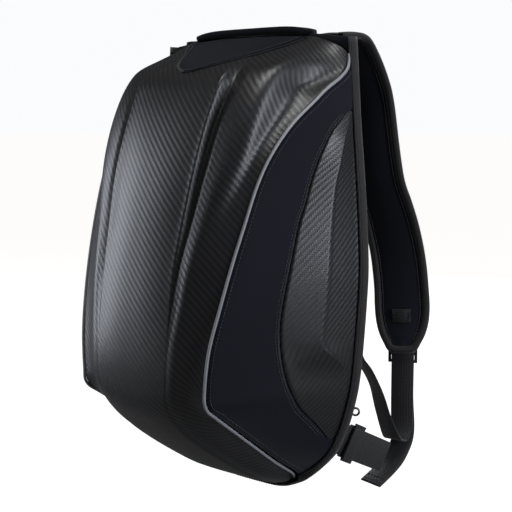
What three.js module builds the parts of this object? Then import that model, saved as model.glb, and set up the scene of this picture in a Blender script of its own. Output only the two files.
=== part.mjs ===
// Hard shell backpack: a moulded front shell with two tapering grooves, stretch side gussets,
// moulded rear wings, a padded back panel with a bound edge, a carry handle, padded shoulder
// straps with webbing and ladder locks, and a waist webbing stub with its slider on each side.
// Millimetres, +Z up. X is the width, -Y is the shell's front and +Y is the wearer's side.
// The origin is the middle of the wearer's face of the back panel.
import * as THREE from "three";

// Main body
const HALF_HEIGHT = 250; // height unit of the tables, from the middle of the back panel
const BACK_HALF_WIDTH = 145.5; // widest place of the back edge
const SEAM_SETBACK = 11.5; // back edge to the piped seam, across, near the top corners
const SEAM_HALF_WIDTH = BACK_HALF_WIDTH - SEAM_SETBACK;
const PANEL_HALF_WIDTH = 57; // raised middle panel of the shell, at its top
const SHELL_DEPTH = 190; // edge plane to the foremost point of the shell
const SHELL_WALL = 2.6;
const SHELL_CROWN = 2.5; // how far the middle panel stands proud between its centre and edge
const GROOVE_WIDTH = 24;
const GROOVE_DEPTH = 9;
const GROOVE_STEEP = 0.24; // share of the groove's width that its steep inner wall takes
const GROOVE_SHELF = 0.6; // place across the groove where its slow outer wall is half way up
const GUSSET_WALL = 2.2;
const GUSSET_BULGE = 3;
const WING_WALL = 2.4;
const WING_RIDGE = 8;
const PIPING_RADIUS = 1.6;
const GAP = 0.35; // clearance between neighbouring pieces

// Back panel and its bound edge
const PAD_RISE = 10; // edge plane to the wearer's face
const FLANGE_WALL = 1.8;
const PAD_SLOPE_WIDTH = 20;
const BINDING_COVER = 8.5; // how far the tape reaches over the side
const BINDING_REAR = 8; // how far it reaches over the back panel
const BINDING_WALL = 1.2;

// Top patch, top band and handle
const PATCH_HALF_WIDTH = 84;
const PATCH_WALL = 1.6;
const BAND_WALL = 2.2;
const HANDLE_HALF_SPAN = 78;
const HANDLE_WIDTH = 20;
const HANDLE_WALL = 3.2;
const HANDLE_RISE = 5.1;

// Shoulder straps, webbing and hardware
const STRAP_WIDTH = 60;
const STRAP_THICKNESS = 9;
const STRAP_OUT = 155; // edge plane to the strap's farthest edge
const STRAP_INSET = 25.5; // back edge to the strap's outer edge, across
const STRAP_SIDE = BACK_HALF_WIDTH - STRAP_INSET; // middle of the bag to the strap's outer edge
const WEB_WIDTH = 25;
const WEB_WALL = 1.6;
const BAR_LENGTH = 20;
const BAR_WIDTH = 15;
const LOCK_WIDTH = 33;
const LOCK_LENGTH = 21;
const LOCK_THICKNESS = 3.6;
const LOCK_RAIL = 3.2;
const LOCK_SLOT = 5.6; // upper slot, where the webbing turns round the middle bar
const LOCK_RAISE = 6; // how far the lock reaches up behind the end of the strap
const WEB_PLAY = 0.5; // webbing to the lock's faces
const WAIST_WIDTH = 34;
const WAIST_REACH = 84;
const SLIDER_LENGTH = 20;
const SLIDER_THICKNESS = 3;
const SLIDER_RAIL = 3.2;
const RING_RADIUS = 5;
const RING_WIRE = 1.2;

const V = (x, y, z) => new THREE.Vector3(x, y, z);

// Materials
const finish = (color, roughness, metalness = 0) =>
  new THREE.MeshStandardMaterial({ color, roughness, metalness });
const carbon = finish(0x202124, 0.32);
const neoprene = finish(0x171a24, 0.85);
const foam = finish(0x15161c, 0.9);
const tape = finish(0x2b2a2c, 0.8);
const webbing = finish(0x1c1b1d, 0.75);
const plastic = finish(0x121213, 0.45);
const reflective = finish(0xb9bcc1, 0.4);
const wire = finish(0x8c8d90, 0.35, 1);

// Each shell section runs from the centre line to the piping and is given by six rails. Heights
// are shares of HALF_HEIGHT, depths of SHELL_DEPTH, widths of the size named in WIDTH_OF.
// groove is its depth as a share of GROOVE_DEPTH, width its share of GROOVE_WIDTH.
const WIDTH_OF = { panel: PANEL_HALF_WIDTH, lobe: SEAM_HALF_WIDTH };
const SHELL_ROWS = [
  // centre [height, depth], panel edge, groove [width, depth], shoulder, crease, seam
  { centre: [0.976, 0.074], panel: [0.67, 0.976, 0.074], groove: [0.9, 0], shoulder: [0.66, 0.966, 0.068], crease: [0.866, 0.932, 0.058], seam: [0.958, 0.89, 0.04] },
  { centre: [0.9, 0.326], panel: [0.8, 0.896, 0.316], groove: [0.95, 0], shoulder: [0.74, 0.894, 0.263], crease: [0.9, 0.854, 0.11], seam: [0.97, 0.836, 0.062] },
  { centre: [0.834, 0.54], panel: [0.93, 0.834, 0.526], groove: [0.98, 0.45], shoulder: [0.77, 0.846, 0.4], crease: [0.85, 0.797, 0.21], seam: [0.98, 0.794, 0.134] },
  { centre: [0.788, 0.632], panel: [1, 0.788, 0.616], groove: [1, 0.9], shoulder: [0.776, 0.8, 0.472], crease: [0.821, 0.764, 0.284], seam: [0.966, 0.75, 0.229] },
  { centre: [0.72, 0.69], panel: [1, 0.72, 0.666], groove: [0.88, 1], shoulder: [0.772, 0.724, 0.553], crease: [0.821, 0.712, 0.389], seam: [0.952, 0.7, 0.318] },
  { centre: [0.62, 0.753], panel: [0.99, 0.62, 0.724], groove: [0.7, 0.95], shoulder: [0.769, 0.616, 0.626], crease: [0.797, 0.604, 0.511], seam: [0.91, 0.608, 0.463] },
  { centre: [0.5, 0.816], panel: [0.98, 0.5, 0.784], groove: [0.55, 0.85], shoulder: [0.75, 0.496, 0.69], crease: [0.772, 0.496, 0.626], seam: [0.866, 0.496, 0.579] },
  { centre: [0.38, 0.868], panel: [0.965, 0.38, 0.832], groove: [0.42, 0.7], shoulder: [0.694, 0.38, 0.753], crease: [0.731, 0.38, 0.7], seam: [0.832, 0.38, 0.658] },
  { centre: [0.24, 0.913], panel: [0.921, 0.24, 0.876], groove: [0.32, 0.55], shoulder: [0.627, 0.24, 0.816], crease: [0.676, 0.24, 0.787], seam: [0.806, 0.24, 0.726] },
  { centre: [0.08, 0.953], panel: [0.877, 0.08, 0.924], groove: [0.22, 0.32], shoulder: [0.56, 0.08, 0.887], crease: [0.642, 0.08, 0.853], seam: [0.769, 0.08, 0.795] },
  { centre: [-0.08, 0.984], panel: [0.868, -0.08, 0.958], groove: [0.14, 0.1], shoulder: [0.515, -0.08, 0.932], crease: [0.612, -0.08, 0.892], seam: [0.731, -0.08, 0.853] },
  { centre: [-0.24, 1], panel: [0.86, -0.24, 0.982], groove: [0.12, 0], shoulder: [0.48, -0.24, 0.963], crease: [0.588, -0.24, 0.921], seam: [0.687, -0.24, 0.9] },
  { centre: [-0.38, 1], panel: [0.825, -0.38, 0.988], groove: [0.12, 0], shoulder: [0.45, -0.38, 0.971], crease: [0.545, -0.372, 0.937], seam: [0.66, -0.392, 0.913] },
  { centre: [-0.5, 0.972], panel: [0.75, -0.488, 0.96], groove: [0.14, 0], shoulder: [0.433, -0.472, 0.937], crease: [0.53, -0.448, 0.918], seam: [0.657, -0.464, 0.9] },
  { centre: [-0.6, 0.847], panel: [0.72, -0.596, 0.842], groove: [0.24, 0], shoulder: [0.463, -0.576, 0.816], crease: [0.56, -0.548, 0.805], seam: [0.638, -0.516, 0.811] },
  { centre: [-0.688, 0.7], panel: [0.74, -0.684, 0.695], groove: [0.24, 0], shoulder: [0.463, -0.664, 0.668], crease: [0.53, -0.632, 0.653], seam: [0.598, -0.599, 0.645] },
  { centre: [-0.784, 0.51], panel: [0.74, -0.78, 0.505], groove: [0.24, 0], shoulder: [0.44, -0.76, 0.484], crease: [0.5, -0.728, 0.468], seam: [0.551, -0.695, 0.453] },
  { centre: [-0.88, 0.295], panel: [0.7, -0.878, 0.29], groove: [0.24, 0], shoulder: [0.418, -0.856, 0.274], crease: [0.463, -0.832, 0.263], seam: [0.502, -0.794, 0.253] },
  { centre: [-0.938, 0.1], panel: [0.66, -0.934, 0.1], groove: [0.24, 0], shoulder: [0.388, -0.918, 0.09], crease: [0.425, -0.904, 0.084], seam: [0.455, -0.872, 0.078] },
  { centre: [-0.95, 0.04], panel: [0.63, -0.944, 0.04], groove: [0.24, 0], shoulder: [0.358, -0.93, 0.04], crease: [0.396, -0.92, 0.04], seam: [0.43, -0.905, 0.034] },
];
const SHELL_SMOOTHING = 2; // points per table row

// Back outline, half: height and half width, from the top corner to the bottom.
const BACK_ROWS = [
  { height: 0.96, width: 0.88 },
  { height: 0.8, width: 0.9 },
  { height: 0.6, width: 0.926 },
  { height: 0.4, width: 0.96 },
  { height: 0.2, width: 0.986 },
  { height: 0.03, width: 1 },
  { height: -0.13, width: 0.986 },
  { height: -0.29, width: 0.963 },
  { height: -0.4, width: 0.943 },
  { height: -0.5, width: 0.912 },
  { height: -0.62, width: 0.851 },
  { height: -0.71, width: 0.784 },
  { height: -0.767, width: 0.723 },
  { height: -0.834, width: 0.608 },
  { height: -0.892, width: 0.486 },
  { height: -0.923, width: 0.392 },
  { height: -0.952, width: 0.243 },
];
// Top edge, from the corner to the centre line: share of the corner's half width, and height.
const TOP_ROWS = [
  { across: 0.92, height: 0.966 },
  { across: 0.75, height: 0.975 },
  { across: 0.5, height: 0.98 },
  { across: 0.25, height: 0.98 },
  { across: 0, height: 0.979 },
];

// Stitched seam between gusset and wing: height, and depth as a share of SHELL_DEPTH.
const WING_ROWS = [
  { height: 0.665, seam: 0.075, ridge: 0.06 },
  { height: 0.652, seam: 0.089, ridge: 0.06 },
  { height: 0.616, seam: 0.147, ridge: 0.075 },
  { height: 0.572, seam: 0.205, ridge: 0.11 },
  { height: 0.516, seam: 0.253, ridge: 0.145 },
  { height: 0.46, seam: 0.295, ridge: 0.175 },
  { height: 0.388, seam: 0.337, ridge: 0.21 },
  { height: 0.304, seam: 0.374, ridge: 0.232 },
  { height: 0.224, seam: 0.416, ridge: 0.245 },
  { height: 0.128, seam: 0.447, ridge: 0.256 },
  { height: 0.032, seam: 0.474, ridge: 0.264 },
  { height: -0.072, seam: 0.5, ridge: 0.27 },
  { height: -0.176, seam: 0.511, ridge: 0.276 },
  { height: -0.25, seam: 0.502, ridge: 0.278 },
  { height: -0.3, seam: 0.489, ridge: 0.21 },
  { height: -0.368, seam: 0.463, ridge: 0.085 },
  { height: -0.44, seam: 0.421, ridge: 0.06 },
  { height: -0.512, seam: 0.347, ridge: 0.06 },
  { height: -0.596, seam: 0.211, ridge: 0.06 },
  { height: -0.66, seam: 0.116, ridge: 0.06 },
  { height: -0.69, seam: 0.075, ridge: 0.06 },
];

// Interpolation
function between(a, b, share) {
  return a + (b - a) * share;
}

// Reads a column of a table at a height, on a smooth curve through the rows.
function read(rows, at, key, column) {
  const down = rows[0][key] > rows[rows.length - 1][key];
  const sorted = down ? [...rows].reverse() : rows;
  const last = sorted.length - 1;
  const x = Math.min(Math.max(at, sorted[0][key]), sorted[last][key]);
  let i = 0;
  while (i < last - 1 && sorted[i + 1][key] < x) i += 1;
  const rise = (k) => {
    const lo = sorted[Math.max(k - 1, 0)];
    const hi = sorted[Math.min(k + 1, last)];
    return (hi[column] - lo[column]) / (hi[key] - lo[key]);
  };
  const step = sorted[i + 1][key] - sorted[i][key];
  const t = (x - sorted[i][key]) / step;
  const h = t * t * (3 - 2 * t);
  return (
    between(sorted[i][column], sorted[i + 1][column], h) +
    step * (t * (1 - t) * (1 - t) * rise(i) - t * t * (1 - t) * rise(i + 1))
  );
}

// Smooth list of vectors through the given ones, with `count` steps for each interval.
function smooth(points, count) {
  const result = [];
  const last = points.length - 1;
  for (let i = 0; i < last; i += 1) {
    const before = points[Math.max(i - 1, 0)];
    const after = points[Math.min(i + 2, last)];
    for (let k = 0; k < count; k += 1) {
      const t = k / count;
      const a = points[i].clone().multiplyScalar(2 * t ** 3 - 3 * t ** 2 + 1);
      const b = points[i + 1].clone().multiplyScalar(3 * t ** 2 - 2 * t ** 3);
      const va = points[i + 1].clone().sub(before).multiplyScalar((t ** 3 - 2 * t ** 2 + t) / 2);
      const vb = after.clone().sub(points[i]).multiplyScalar((t ** 3 - t ** 2) / 2);
      result.push(a.add(b).add(va).add(vb));
    }
  }
  result.push(points[last].clone());
  return result;
}

// Closed solids from rings and sheets
function closedGeometry(points, triangles) {
  let volume = 0;
  for (const [a, b, c] of triangles) {
    volume += points[a].dot(points[b].clone().cross(points[c]));
  }
  const order = volume > 0 ? triangles : triangles.map(([a, b, c]) => [a, c, b]);
  const geometry = new THREE.BufferGeometry();
  const flat = points.flatMap((p) => [p.x, p.y, p.z]);
  geometry.setAttribute("position", new THREE.Float32BufferAttribute(flat, 3));
  geometry.setIndex(order.flat());
  geometry.computeVertexNormals();
  return geometry;
}

// A wall between two grids of the same size, closed along its border.
function sheet(outer, inner) {
  const rows = outer.length;
  const cols = outer[0].length;
  const points = [...outer.flat(), ...inner.flat()];
  const at = (side, i, j) => side * rows * cols + i * cols + j;
  const triangles = [];
  for (let i = 0; i < rows - 1; i += 1) {
    for (let j = 0; j < cols - 1; j += 1) {
      const a = [at(0, i, j), at(0, i, j + 1), at(0, i + 1, j + 1), at(0, i + 1, j)];
      const b = [at(1, i, j), at(1, i, j + 1), at(1, i + 1, j + 1), at(1, i + 1, j)];
      triangles.push([a[0], a[1], a[2]], [a[0], a[2], a[3]]);
      triangles.push([b[0], b[2], b[1]], [b[0], b[3], b[2]]);
    }
  }
  const border = [];
  for (let j = 0; j < cols - 1; j += 1) border.push([0, j]);
  for (let i = 0; i < rows - 1; i += 1) border.push([i, cols - 1]);
  for (let j = cols - 1; j > 0; j -= 1) border.push([rows - 1, j]);
  for (let i = rows - 1; i > 0; i -= 1) border.push([i, 0]);
  border.forEach(([i, j], k) => {
    const [m, n] = border[(k + 1) % border.length];
    triangles.push([at(0, i, j), at(1, m, n), at(0, m, n)]);
    triangles.push([at(0, i, j), at(1, i, j), at(1, m, n)]);
  });
  return closedGeometry(points, triangles);
}

// A solid through rings of points. The flat outline of each end ring closes it.
function loft(rings, axes) {
  const count = rings[0].length;
  const points = rings.flat();
  const triangles = [];
  for (let i = 0; i < rings.length - 1; i += 1) {
    for (let j = 0; j < count; j += 1) {
      const k = (j + 1) % count;
      const a = i * count;
      const b = a + count;
      triangles.push([a + j, a + k, b + k], [a + j, b + k, b + j]);
    }
  }
  for (const end of [0, rings.length - 1]) {
    const outline = rings[end].map((p) => new THREE.Vector2(p.dot(axes[end][0]), p.dot(axes[end][1])));
    const forward = !THREE.ShapeUtils.isClockWise(outline);
    const order = forward ? outline : [...outline].reverse();
    const index = (k) => end * count + (forward ? k : count - 1 - k);
    const cap = THREE.ShapeUtils.triangulateShape(order, []).map((t) => t.map(index));
    const next = (k) => end * count + ((k - end * count + 1) % count);
    const along = cap.some(([a, b, c]) => next(a) === b || next(b) === c || next(c) === a);
    const flip = end === 0 ? along : !along;
    for (const [a, b, c] of cap) triangles.push(flip ? [a, c, b] : [a, b, c]);
  }
  return closedGeometry(points, triangles);
}

// Outward unit normals of a grid, pointing away from the point `inside`.
function gridNormals(grid, inside) {
  const rows = grid.length;
  const cols = grid[0].length;
  return grid.map((line, i) =>
    line.map((p, j) => {
      const up = grid[Math.max(i - 1, 0)][j];
      const down = grid[Math.min(i + 1, rows - 1)][j];
      const left = line[Math.max(j - 1, 0)];
      const right = line[Math.min(j + 1, cols - 1)];
      const n = down.clone().sub(up).cross(right.clone().sub(left)).normalize();
      return n.dot(p.clone().sub(inside)) < 0 ? n.negate() : n;
    }),
  );
}

function moved(grid, normals, distance) {
  return grid.map((line, i) => line.map((p, j) => p.clone().addScaledVector(normals[i][j], distance)));
}

const CORE = V(0, -SHELL_DEPTH * 0.3, 0); // a point well inside the bag

// Shell
function railPoint(width, [share, height, depth]) {
  return V(share * width, -depth * SHELL_DEPTH, height * HALF_HEIGHT);
}

// Half section of a row, from the centre line to the seam, with its groove depths.
function shellSection(row) {
  const centre = V(0, -row.centre[1] * SHELL_DEPTH, row.centre[0] * HALF_HEIGHT);
  const edge = railPoint(WIDTH_OF.panel, row.panel);
  const shoulder = railPoint(WIDTH_OF.lobe, row.shoulder);
  const crease = railPoint(WIDTH_OF.lobe, row.crease);
  const seam = railPoint(WIDTH_OF.lobe, row.seam);
  const middle = centre.clone().lerp(edge, 0.55);
  middle.y -= SHELL_CROWN;
  const width = row.groove[0] * GROOVE_WIDTH;
  const lobe = shoulder.clone().sub(edge);
  const acrossLobe = (distance) => edge.clone().addScaledVector(lobe, distance / lobe.length());
  const groove = [GROOVE_STEEP, GROOVE_SHELF, 1].map((share) => acrossLobe(share * width));
  const front = groove[2].clone().lerp(shoulder, 0.6);
  front.y -= SHELL_CROWN;
  const bevel = crease.clone().lerp(seam, 0.5);
  const depth = row.groove[1] * GROOVE_DEPTH;
  return {
    points: [centre, middle, edge, ...groove, front, shoulder, crease, bevel, seam],
    depths: [0, 0, 0, depth, depth / 2, 0, 0, 0, 0, 0, 0],
  };
}

const SHELL_SECTIONS = SHELL_ROWS.map(shellSection);
const SEAM_RAIL = smooth(SHELL_SECTIONS.map(({ points }) => points[points.length - 1]), 4);

function mirrorLine(line) {
  const left = line.slice(1).map((p) => V(-p.x, p.y, p.z));
  return [...left.reverse(), ...line];
}

function shellGrid() {
  const count = SHELL_SECTIONS[0].points.length;
  const rails = [];
  const depths = [];
  for (let j = 0; j < count; j += 1) {
    rails.push(smooth(SHELL_SECTIONS.map(({ points }) => points[j]), SHELL_SMOOTHING));
    const column = SHELL_SECTIONS.map(({ depths: d }) => V(d[j], 0, 0));
    depths.push(smooth(column, SHELL_SMOOTHING).map((p) => Math.max(p.x, 0)));
  }
  const grid = rails[0].map((_, i) => {
    const half = rails.map((rail) => rail[i].clone());
    // The last point stops short of the piping, which sits in the seam.
    const last = half.length - 1;
    const inward = half[last - 1].clone().sub(half[last]).normalize();
    half[last].addScaledVector(inward, PIPING_RADIUS + GAP);
    return mirrorLine(half);
  });
  const grooves = rails[0].map((_, i) => {
    const half = depths.map((column) => column[i]);
    return [...half.slice(1).reverse(), ...half];
  });
  const normals = gridNormals(grid, CORE);
  const outer = grid.map((line, i) =>
    line.map((p, j) => p.clone().addScaledVector(normals[i][j], -grooves[i][j])),
  );
  return { smooth: grid, normals, outer };
}

const SHELL = shellGrid();

function shell() {
  return sheet(SHELL.outer, moved(SHELL.outer, SHELL.normals, -SHELL_WALL));
}

// Point on the shell's ungrooved surface above the row position and the share across.
function onShell(rowPosition, x, lift) {
  const i = Math.min(Math.floor(rowPosition), SHELL.smooth.length - 2);
  const t = rowPosition - i;
  const line = SHELL.smooth[i].map((p, j) => p.clone().lerp(SHELL.smooth[i + 1][j], t));
  const normals = SHELL.normals[i].map((n, j) => n.clone().lerp(SHELL.normals[i + 1][j], t));
  let j = 0;
  while (j < line.length - 2 && line[j + 1].x < x) j += 1;
  const share = (x - line[j].x) / (line[j + 1].x - line[j].x);
  const p = line[j].clone().lerp(line[j + 1], share);
  const n = normals[j].clone().lerp(normals[j + 1], share).normalize();
  return p.addScaledVector(n, lift);
}

// Top patch: a soft tongue on the shell's top, wide at the back and rounded at its front tip.
const PATCH_ROWS = [
  { row: 0.35, width: 1 },
  { row: 1, width: 0.9 },
  { row: 1.8, width: 0.72 },
  { row: 2.6, width: 0.54 },
  { row: 3.3, width: 0.38 },
  { row: 3.9, width: 0.24 },
  { row: 4.3, width: 0.12 },
];
const PATCH_GAP = 1.3; // the patch bridges the shell's curve, so it needs more clearance
const PATCH_ACROSS = [-1, -0.7, -0.35, 0, 0.35, 0.7, 1];

function topPatch() {
  const grid = (lift) =>
    PATCH_ROWS.map(({ row, width }) =>
      PATCH_ACROSS.map((share) => onShell(row, share * width * PATCH_HALF_WIDTH, lift)),
    );
  return sheet(grid(PATCH_GAP + PATCH_WALL), grid(PATCH_GAP));
}

// Sides: horizontal slices from the piped seam to the back edge.
function backHalfWidth(z) {
  return read(BACK_ROWS, z / HALF_HEIGHT, "height", "width") * BACK_HALF_WIDTH;
}

const SEAM_ROWS = SEAM_RAIL.map((p) => ({ z: p.z, x: p.x, depth: -p.y }));
const SIDE_TOP = SEAM_ROWS[0].z;
const SIDE_BOTTOM = SEAM_ROWS[SEAM_ROWS.length - 1].z;

function sidePoint(z, depth, lift = 0) {
  const seamX = read(SEAM_ROWS, z, "z", "x");
  const seamDepth = read(SEAM_ROWS, z, "z", "depth");
  const backX = backHalfWidth(z);
  const share = Math.min(depth / seamDepth, 1);
  const fullness = Math.min(seamDepth / (SHELL_DEPTH * 0.4), 1);
  const bulge = 4 * share * (1 - share) * GUSSET_BULGE * fullness;
  const along = V(seamX - backX, -seamDepth, 0).normalize();
  const out = V(-along.y, along.x, 0);
  return V(between(backX, seamX, share), -depth, z).addScaledVector(out, bulge + lift);
}

function mirrored(grid, side) {
  return grid.map((line) => line.map((p) => V(side * p.x, p.y, p.z)));
}

const WING_TOP = WING_ROWS[0].height * HALF_HEIGHT;
const WING_BOTTOM = WING_ROWS[WING_ROWS.length - 1].height * HALF_HEIGHT;
const EDGE_START = 0.6; // the back panel begins this far behind the edge plane
const SIDE_START = 2.5; // the side walls begin this far in front of it

function wingSeamDepth(z) {
  return read(WING_ROWS, z / HALF_HEIGHT, "height", "seam") * SHELL_DEPTH;
}

// Depth to leave beside a sloping seam so that the clearance square to it is `distance`.
function clearance(depthAt, z, distance) {
  const slope = (depthAt(z + 2) - depthAt(z - 2)) / 4;
  return distance * Math.sqrt(1 + slope * slope);
}

const GUSSET_ROWS = 34;
const GUSSET_ACROSS = [0, 0.33, 0.66, 1];

// The gusset ends beside the piping at its front and beside the wing at its back.
function gusset(side) {
  const heights = [];
  for (let i = 0; i <= GUSSET_ROWS; i += 1) {
    const z = between(SIDE_TOP - 6, SIDE_BOTTOM + 4, i / GUSSET_ROWS);
    for (const edge of [WING_TOP, WING_BOTTOM]) {
      if (Math.abs(z - edge) < 4) heights.push(edge + 0.5);
    }
    heights.push(z);
  }
  heights.sort((a, b) => b - a);
  const seamDepth = (z) => read(SEAM_ROWS, z, "z", "depth");
  const grid = (lift) =>
    heights.map((z) => {
      const front = seamDepth(z) - clearance(seamDepth, z, PIPING_RADIUS + 3.2 * GAP);
      const beside = z < WING_TOP + 1 && z > WING_BOTTOM - 1;
      const back = beside ? wingSeamDepth(z) + clearance(wingSeamDepth, z, GAP) : SIDE_START;
      return GUSSET_ACROSS.map((share) => sidePoint(z, Math.max(between(back, front, share), back + share), lift));
    });
  return sheet(mirrored(grid(0), side), mirrored(grid(-GUSSET_WALL), side));
}

const WING_ACROSS = [0, 0.5, 1, 1.5, 2];

// The wing rises to a ridge between the back edge and its stitched seam.
function wing(side) {
  const grid = (lift) =>
    WING_ROWS.map(({ height, seam, ridge }) => {
      const z = height * HALF_HEIGHT;
      const full = Math.min((ridge - 0.06) / 0.12, 1);
      return WING_ACROSS.map((place) => {
        const toRidge = between(SIDE_START, ridge * SHELL_DEPTH, place);
        const toSeam = between(ridge * SHELL_DEPTH, seam * SHELL_DEPTH - GAP, place - 1);
        const depth = place < 1 ? toRidge : toSeam;
        const covered = place < 1 ? BINDING_COVER / (ridge * SHELL_DEPTH) : 0;
        const rise = WING_RIDGE * full * Math.max(1 - Math.abs(place - 1) - covered, 0);
        return sidePoint(z, depth, lift + rise);
      });
    });
  return sheet(mirrored(grid(0), side), mirrored(grid(-WING_WALL), side));
}

// Piping: a round cord in the seam between shell and gusset, from tape to tape.
function piping(side) {
  const kept = SEAM_RAIL.filter((p) => -p.y > BINDING_COVER + PIPING_RADIUS + 1);
  const path = kept.filter((_, i) => i % 2 === 0).map((p) => {
    const out = V(p.x, p.y - CORE.y, p.z * 0.5).normalize();
    const q = p.clone().addScaledVector(out, 0.6);
    return V(side * q.x, q.y, q.z);
  });
  const section = new THREE.Shape();
  section.absarc(0, 0, PIPING_RADIUS, 0, 2 * Math.PI, false);
  return new THREE.ExtrudeGeometry(section, {
    steps: 42,
    curveSegments: 5,
    bevelEnabled: false,
    extrudePath: new THREE.CatmullRomCurve3(path),
  });
}

// Outline of the back: from the left top corner down, round the bottom and up to the right.
function cornerHalfWidth() {
  return BACK_ROWS[0].width * BACK_HALF_WIDTH;
}

function outlineHalf(count) {
  const corner = V(cornerHalfWidth(), 0, BACK_ROWS[0].height * HALF_HEIGHT);
  const rows = BACK_ROWS.slice(1).map((r) => V(r.width * BACK_HALF_WIDTH, 0, r.height * HALF_HEIGHT));
  const bottom = V(0, 0, BACK_ROWS[BACK_ROWS.length - 1].height * HALF_HEIGHT - 1);
  return smooth([corner, ...rows, bottom], count);
}

function topHalf() {
  return TOP_ROWS.map((r) => V(r.across * cornerHalfWidth(), 0, r.height * HALF_HEIGHT));
}

function outline(count) {
  const half = outlineHalf(count);
  const top = topHalf();
  const left = half.slice(0, -1).map((p) => V(-p.x, p.y, p.z));
  const topLeft = top.slice(0, -1).map((p) => V(-p.x, p.y, p.z));
  return [...left, ...[...half].reverse(), ...top, ...topLeft.reverse()];
}

// Outward direction at each point of a closed or open line in the edge plane.
function outward(line, closed) {
  const count = line.length;
  return line.map((_, i) => {
    const a = line[closed ? (i + count - 1) % count : Math.max(i - 1, 0)];
    const b = line[closed ? (i + 1) % count : Math.min(i + 1, count - 1)];
    const along = b.clone().sub(a).normalize();
    return V(along.z, 0, -along.x);
  });
}

function inset(line, directions, distance, y) {
  return line.map((p, i) => V(p.x - directions[i].x * distance, y, p.z - directions[i].z * distance));
}

const PANEL_INSET = 1.2;

function backPanel() {
  const line = outline(1);
  const out = outward(line, true);
  const front = EDGE_START;
  const rim = front + FLANGE_WALL;
  const level = (share) => between(rim, PAD_RISE, share);
  const inner = BINDING_REAR + PANEL_INSET + 1.5;
  const shrunk = (distance, y) => {
    const across = 1 - distance / BACK_HALF_WIDTH;
    const up = 1 - distance / HALF_HEIGHT;
    return line.map((p) => V(p.x * across, y, p.z * up));
  };
  const rings = [
    inset(line, out, PANEL_INSET, front),
    inset(line, out, PANEL_INSET, rim),
    shrunk(inner, rim),
    shrunk(inner + PAD_SLOPE_WIDTH * 0.35, level(0.72)),
    shrunk(inner + PAD_SLOPE_WIDTH, level(1)),
  ];
  const plane = [V(1, 0, 0), V(0, 0, 1)];
  return loft(rings, rings.map(() => plane));
}

// Tape over the edge: from the side, round the edge plane and onto the back panel.
function edgeBinding() {
  const half = outlineHalf(1);
  const left = half.slice(0, -1).map((p) => V(-p.x, p.y, p.z));
  const line = [...left, ...[...half].reverse()];
  const out = outward(line, false);
  const rear = EDGE_START + FLANGE_WALL + GAP;
  const grid = (lift) =>
    line.map((p, i) => {
      const n = out[i];
      const z = Math.min(Math.max(p.z, SIDE_BOTTOM + 1), SIDE_TOP - 1);
      const level = sidePoint(z, 0).x - sidePoint(z, BINDING_COVER).x;
      const beside = Math.abs(p.z - z) < 1;
      const lean = (beside ? Math.max(level * Math.abs(n.x), 0.3) : 2) - GAP;
      const at = (reach, y) => V(p.x + n.x * reach, y, p.z + n.z * reach);
      const stand = GAP + 1.3 + lift;
      return [
        at(stand - lean, -BINDING_COVER),
        at(stand + 0.3, -BINDING_COVER * 0.45),
        at(stand + 0.4, 0),
        at(stand * 0.8, rear * 0.7 + lift),
        at(-PANEL_INSET, rear + lift),
        at(-BINDING_REAR, rear + lift),
      ];
    });
  return sheet(grid(BINDING_WALL), grid(0));
}

// Top band: stretch fabric from the shell's top edge to the back panel's top edge.
function topBand() {
  const top = topHalf();
  const corner = V(cornerHalfWidth(), 0, BACK_ROWS[0].height * HALF_HEIGHT);
  const half = [corner, ...top];
  const left = half.slice(0, -1).map((p) => V(-p.x, p.y, p.z));
  const line = [...left, ...[...half].reverse()];
  const front = SHELL.smooth[0];
  const shellAt = (x) => {
    let j = 0;
    while (j < front.length - 2 && front[j + 1].x < x) j += 1;
    return front[j].clone().lerp(front[j + 1], (x - front[j].x) / (front[j + 1].x - front[j].x));
  };
  const reach = front[front.length - 1].x - 1;
  const grid = (drop) =>
    line.map((p) => {
      const x = Math.min(Math.max(p.x, -reach), reach);
      const s = shellAt(x);
      const start = V(x, s.y + GAP + 2.6, s.z - drop + 0.6);
      const end = V(p.x * 0.995, 0, p.z - drop - 0.5);
      const middle = start.clone().lerp(end, 0.5);
      middle.z += 1;
      return [start, middle, end];
    });
  return sheet(grid(0), grid(BAND_WALL));
}

// Carry handle: a padded band sewn down at both ends, standing up a little between them.
const HANDLE_ROWS = [
  { along: -1, rise: -0.19 },
  { along: -0.86, rise: 0.45 },
  { along: -0.65, rise: 0.88 },
  { along: -0.35, rise: 1 },
  { along: 0, rise: 1 },
  { along: 0.35, rise: 1 },
  { along: 0.65, rise: 0.88 },
  { along: 0.86, rise: 0.45 },
  { along: 1, rise: -0.19 },
];

function roundedSection(width, thickness, sides) {
  const corner = thickness / 2;
  const flat = width / 2 - corner;
  const points = [];
  for (let k = 0; k < sides; k += 1) {
    const angle = (2 * Math.PI * (k + 0.5)) / sides;
    points.push([Math.sign(Math.cos(angle)) * flat + corner * Math.cos(angle), corner * Math.sin(angle)]);
  }
  return points;
}

// Sweeps a flat section through frames of centre, width direction and face normal.
function sweep(frames, section) {
  const rings = frames.map(({ centre, across, normal }) =>
    section(centre).map(([a, n]) => centre.clone().addScaledVector(across, a).addScaledVector(normal, n)),
  );
  return loft(rings, frames.map(({ across, normal }) => [across, normal]));
}

// Frames along a path. Each width direction is turned square to the path unless `slanted` is set.
function framesOf(points, widths, slanted = false) {
  return points.map((centre, i) => {
    const along = points[Math.min(i + 1, points.length - 1)].clone().sub(points[Math.max(i - 1, 0)]).normalize();
    const across = widths[i].clone();
    if (!slanted) across.addScaledVector(along, -across.dot(along));
    across.normalize();
    return { centre, across, normal: across.clone().cross(along).normalize() };
  });
}

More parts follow.
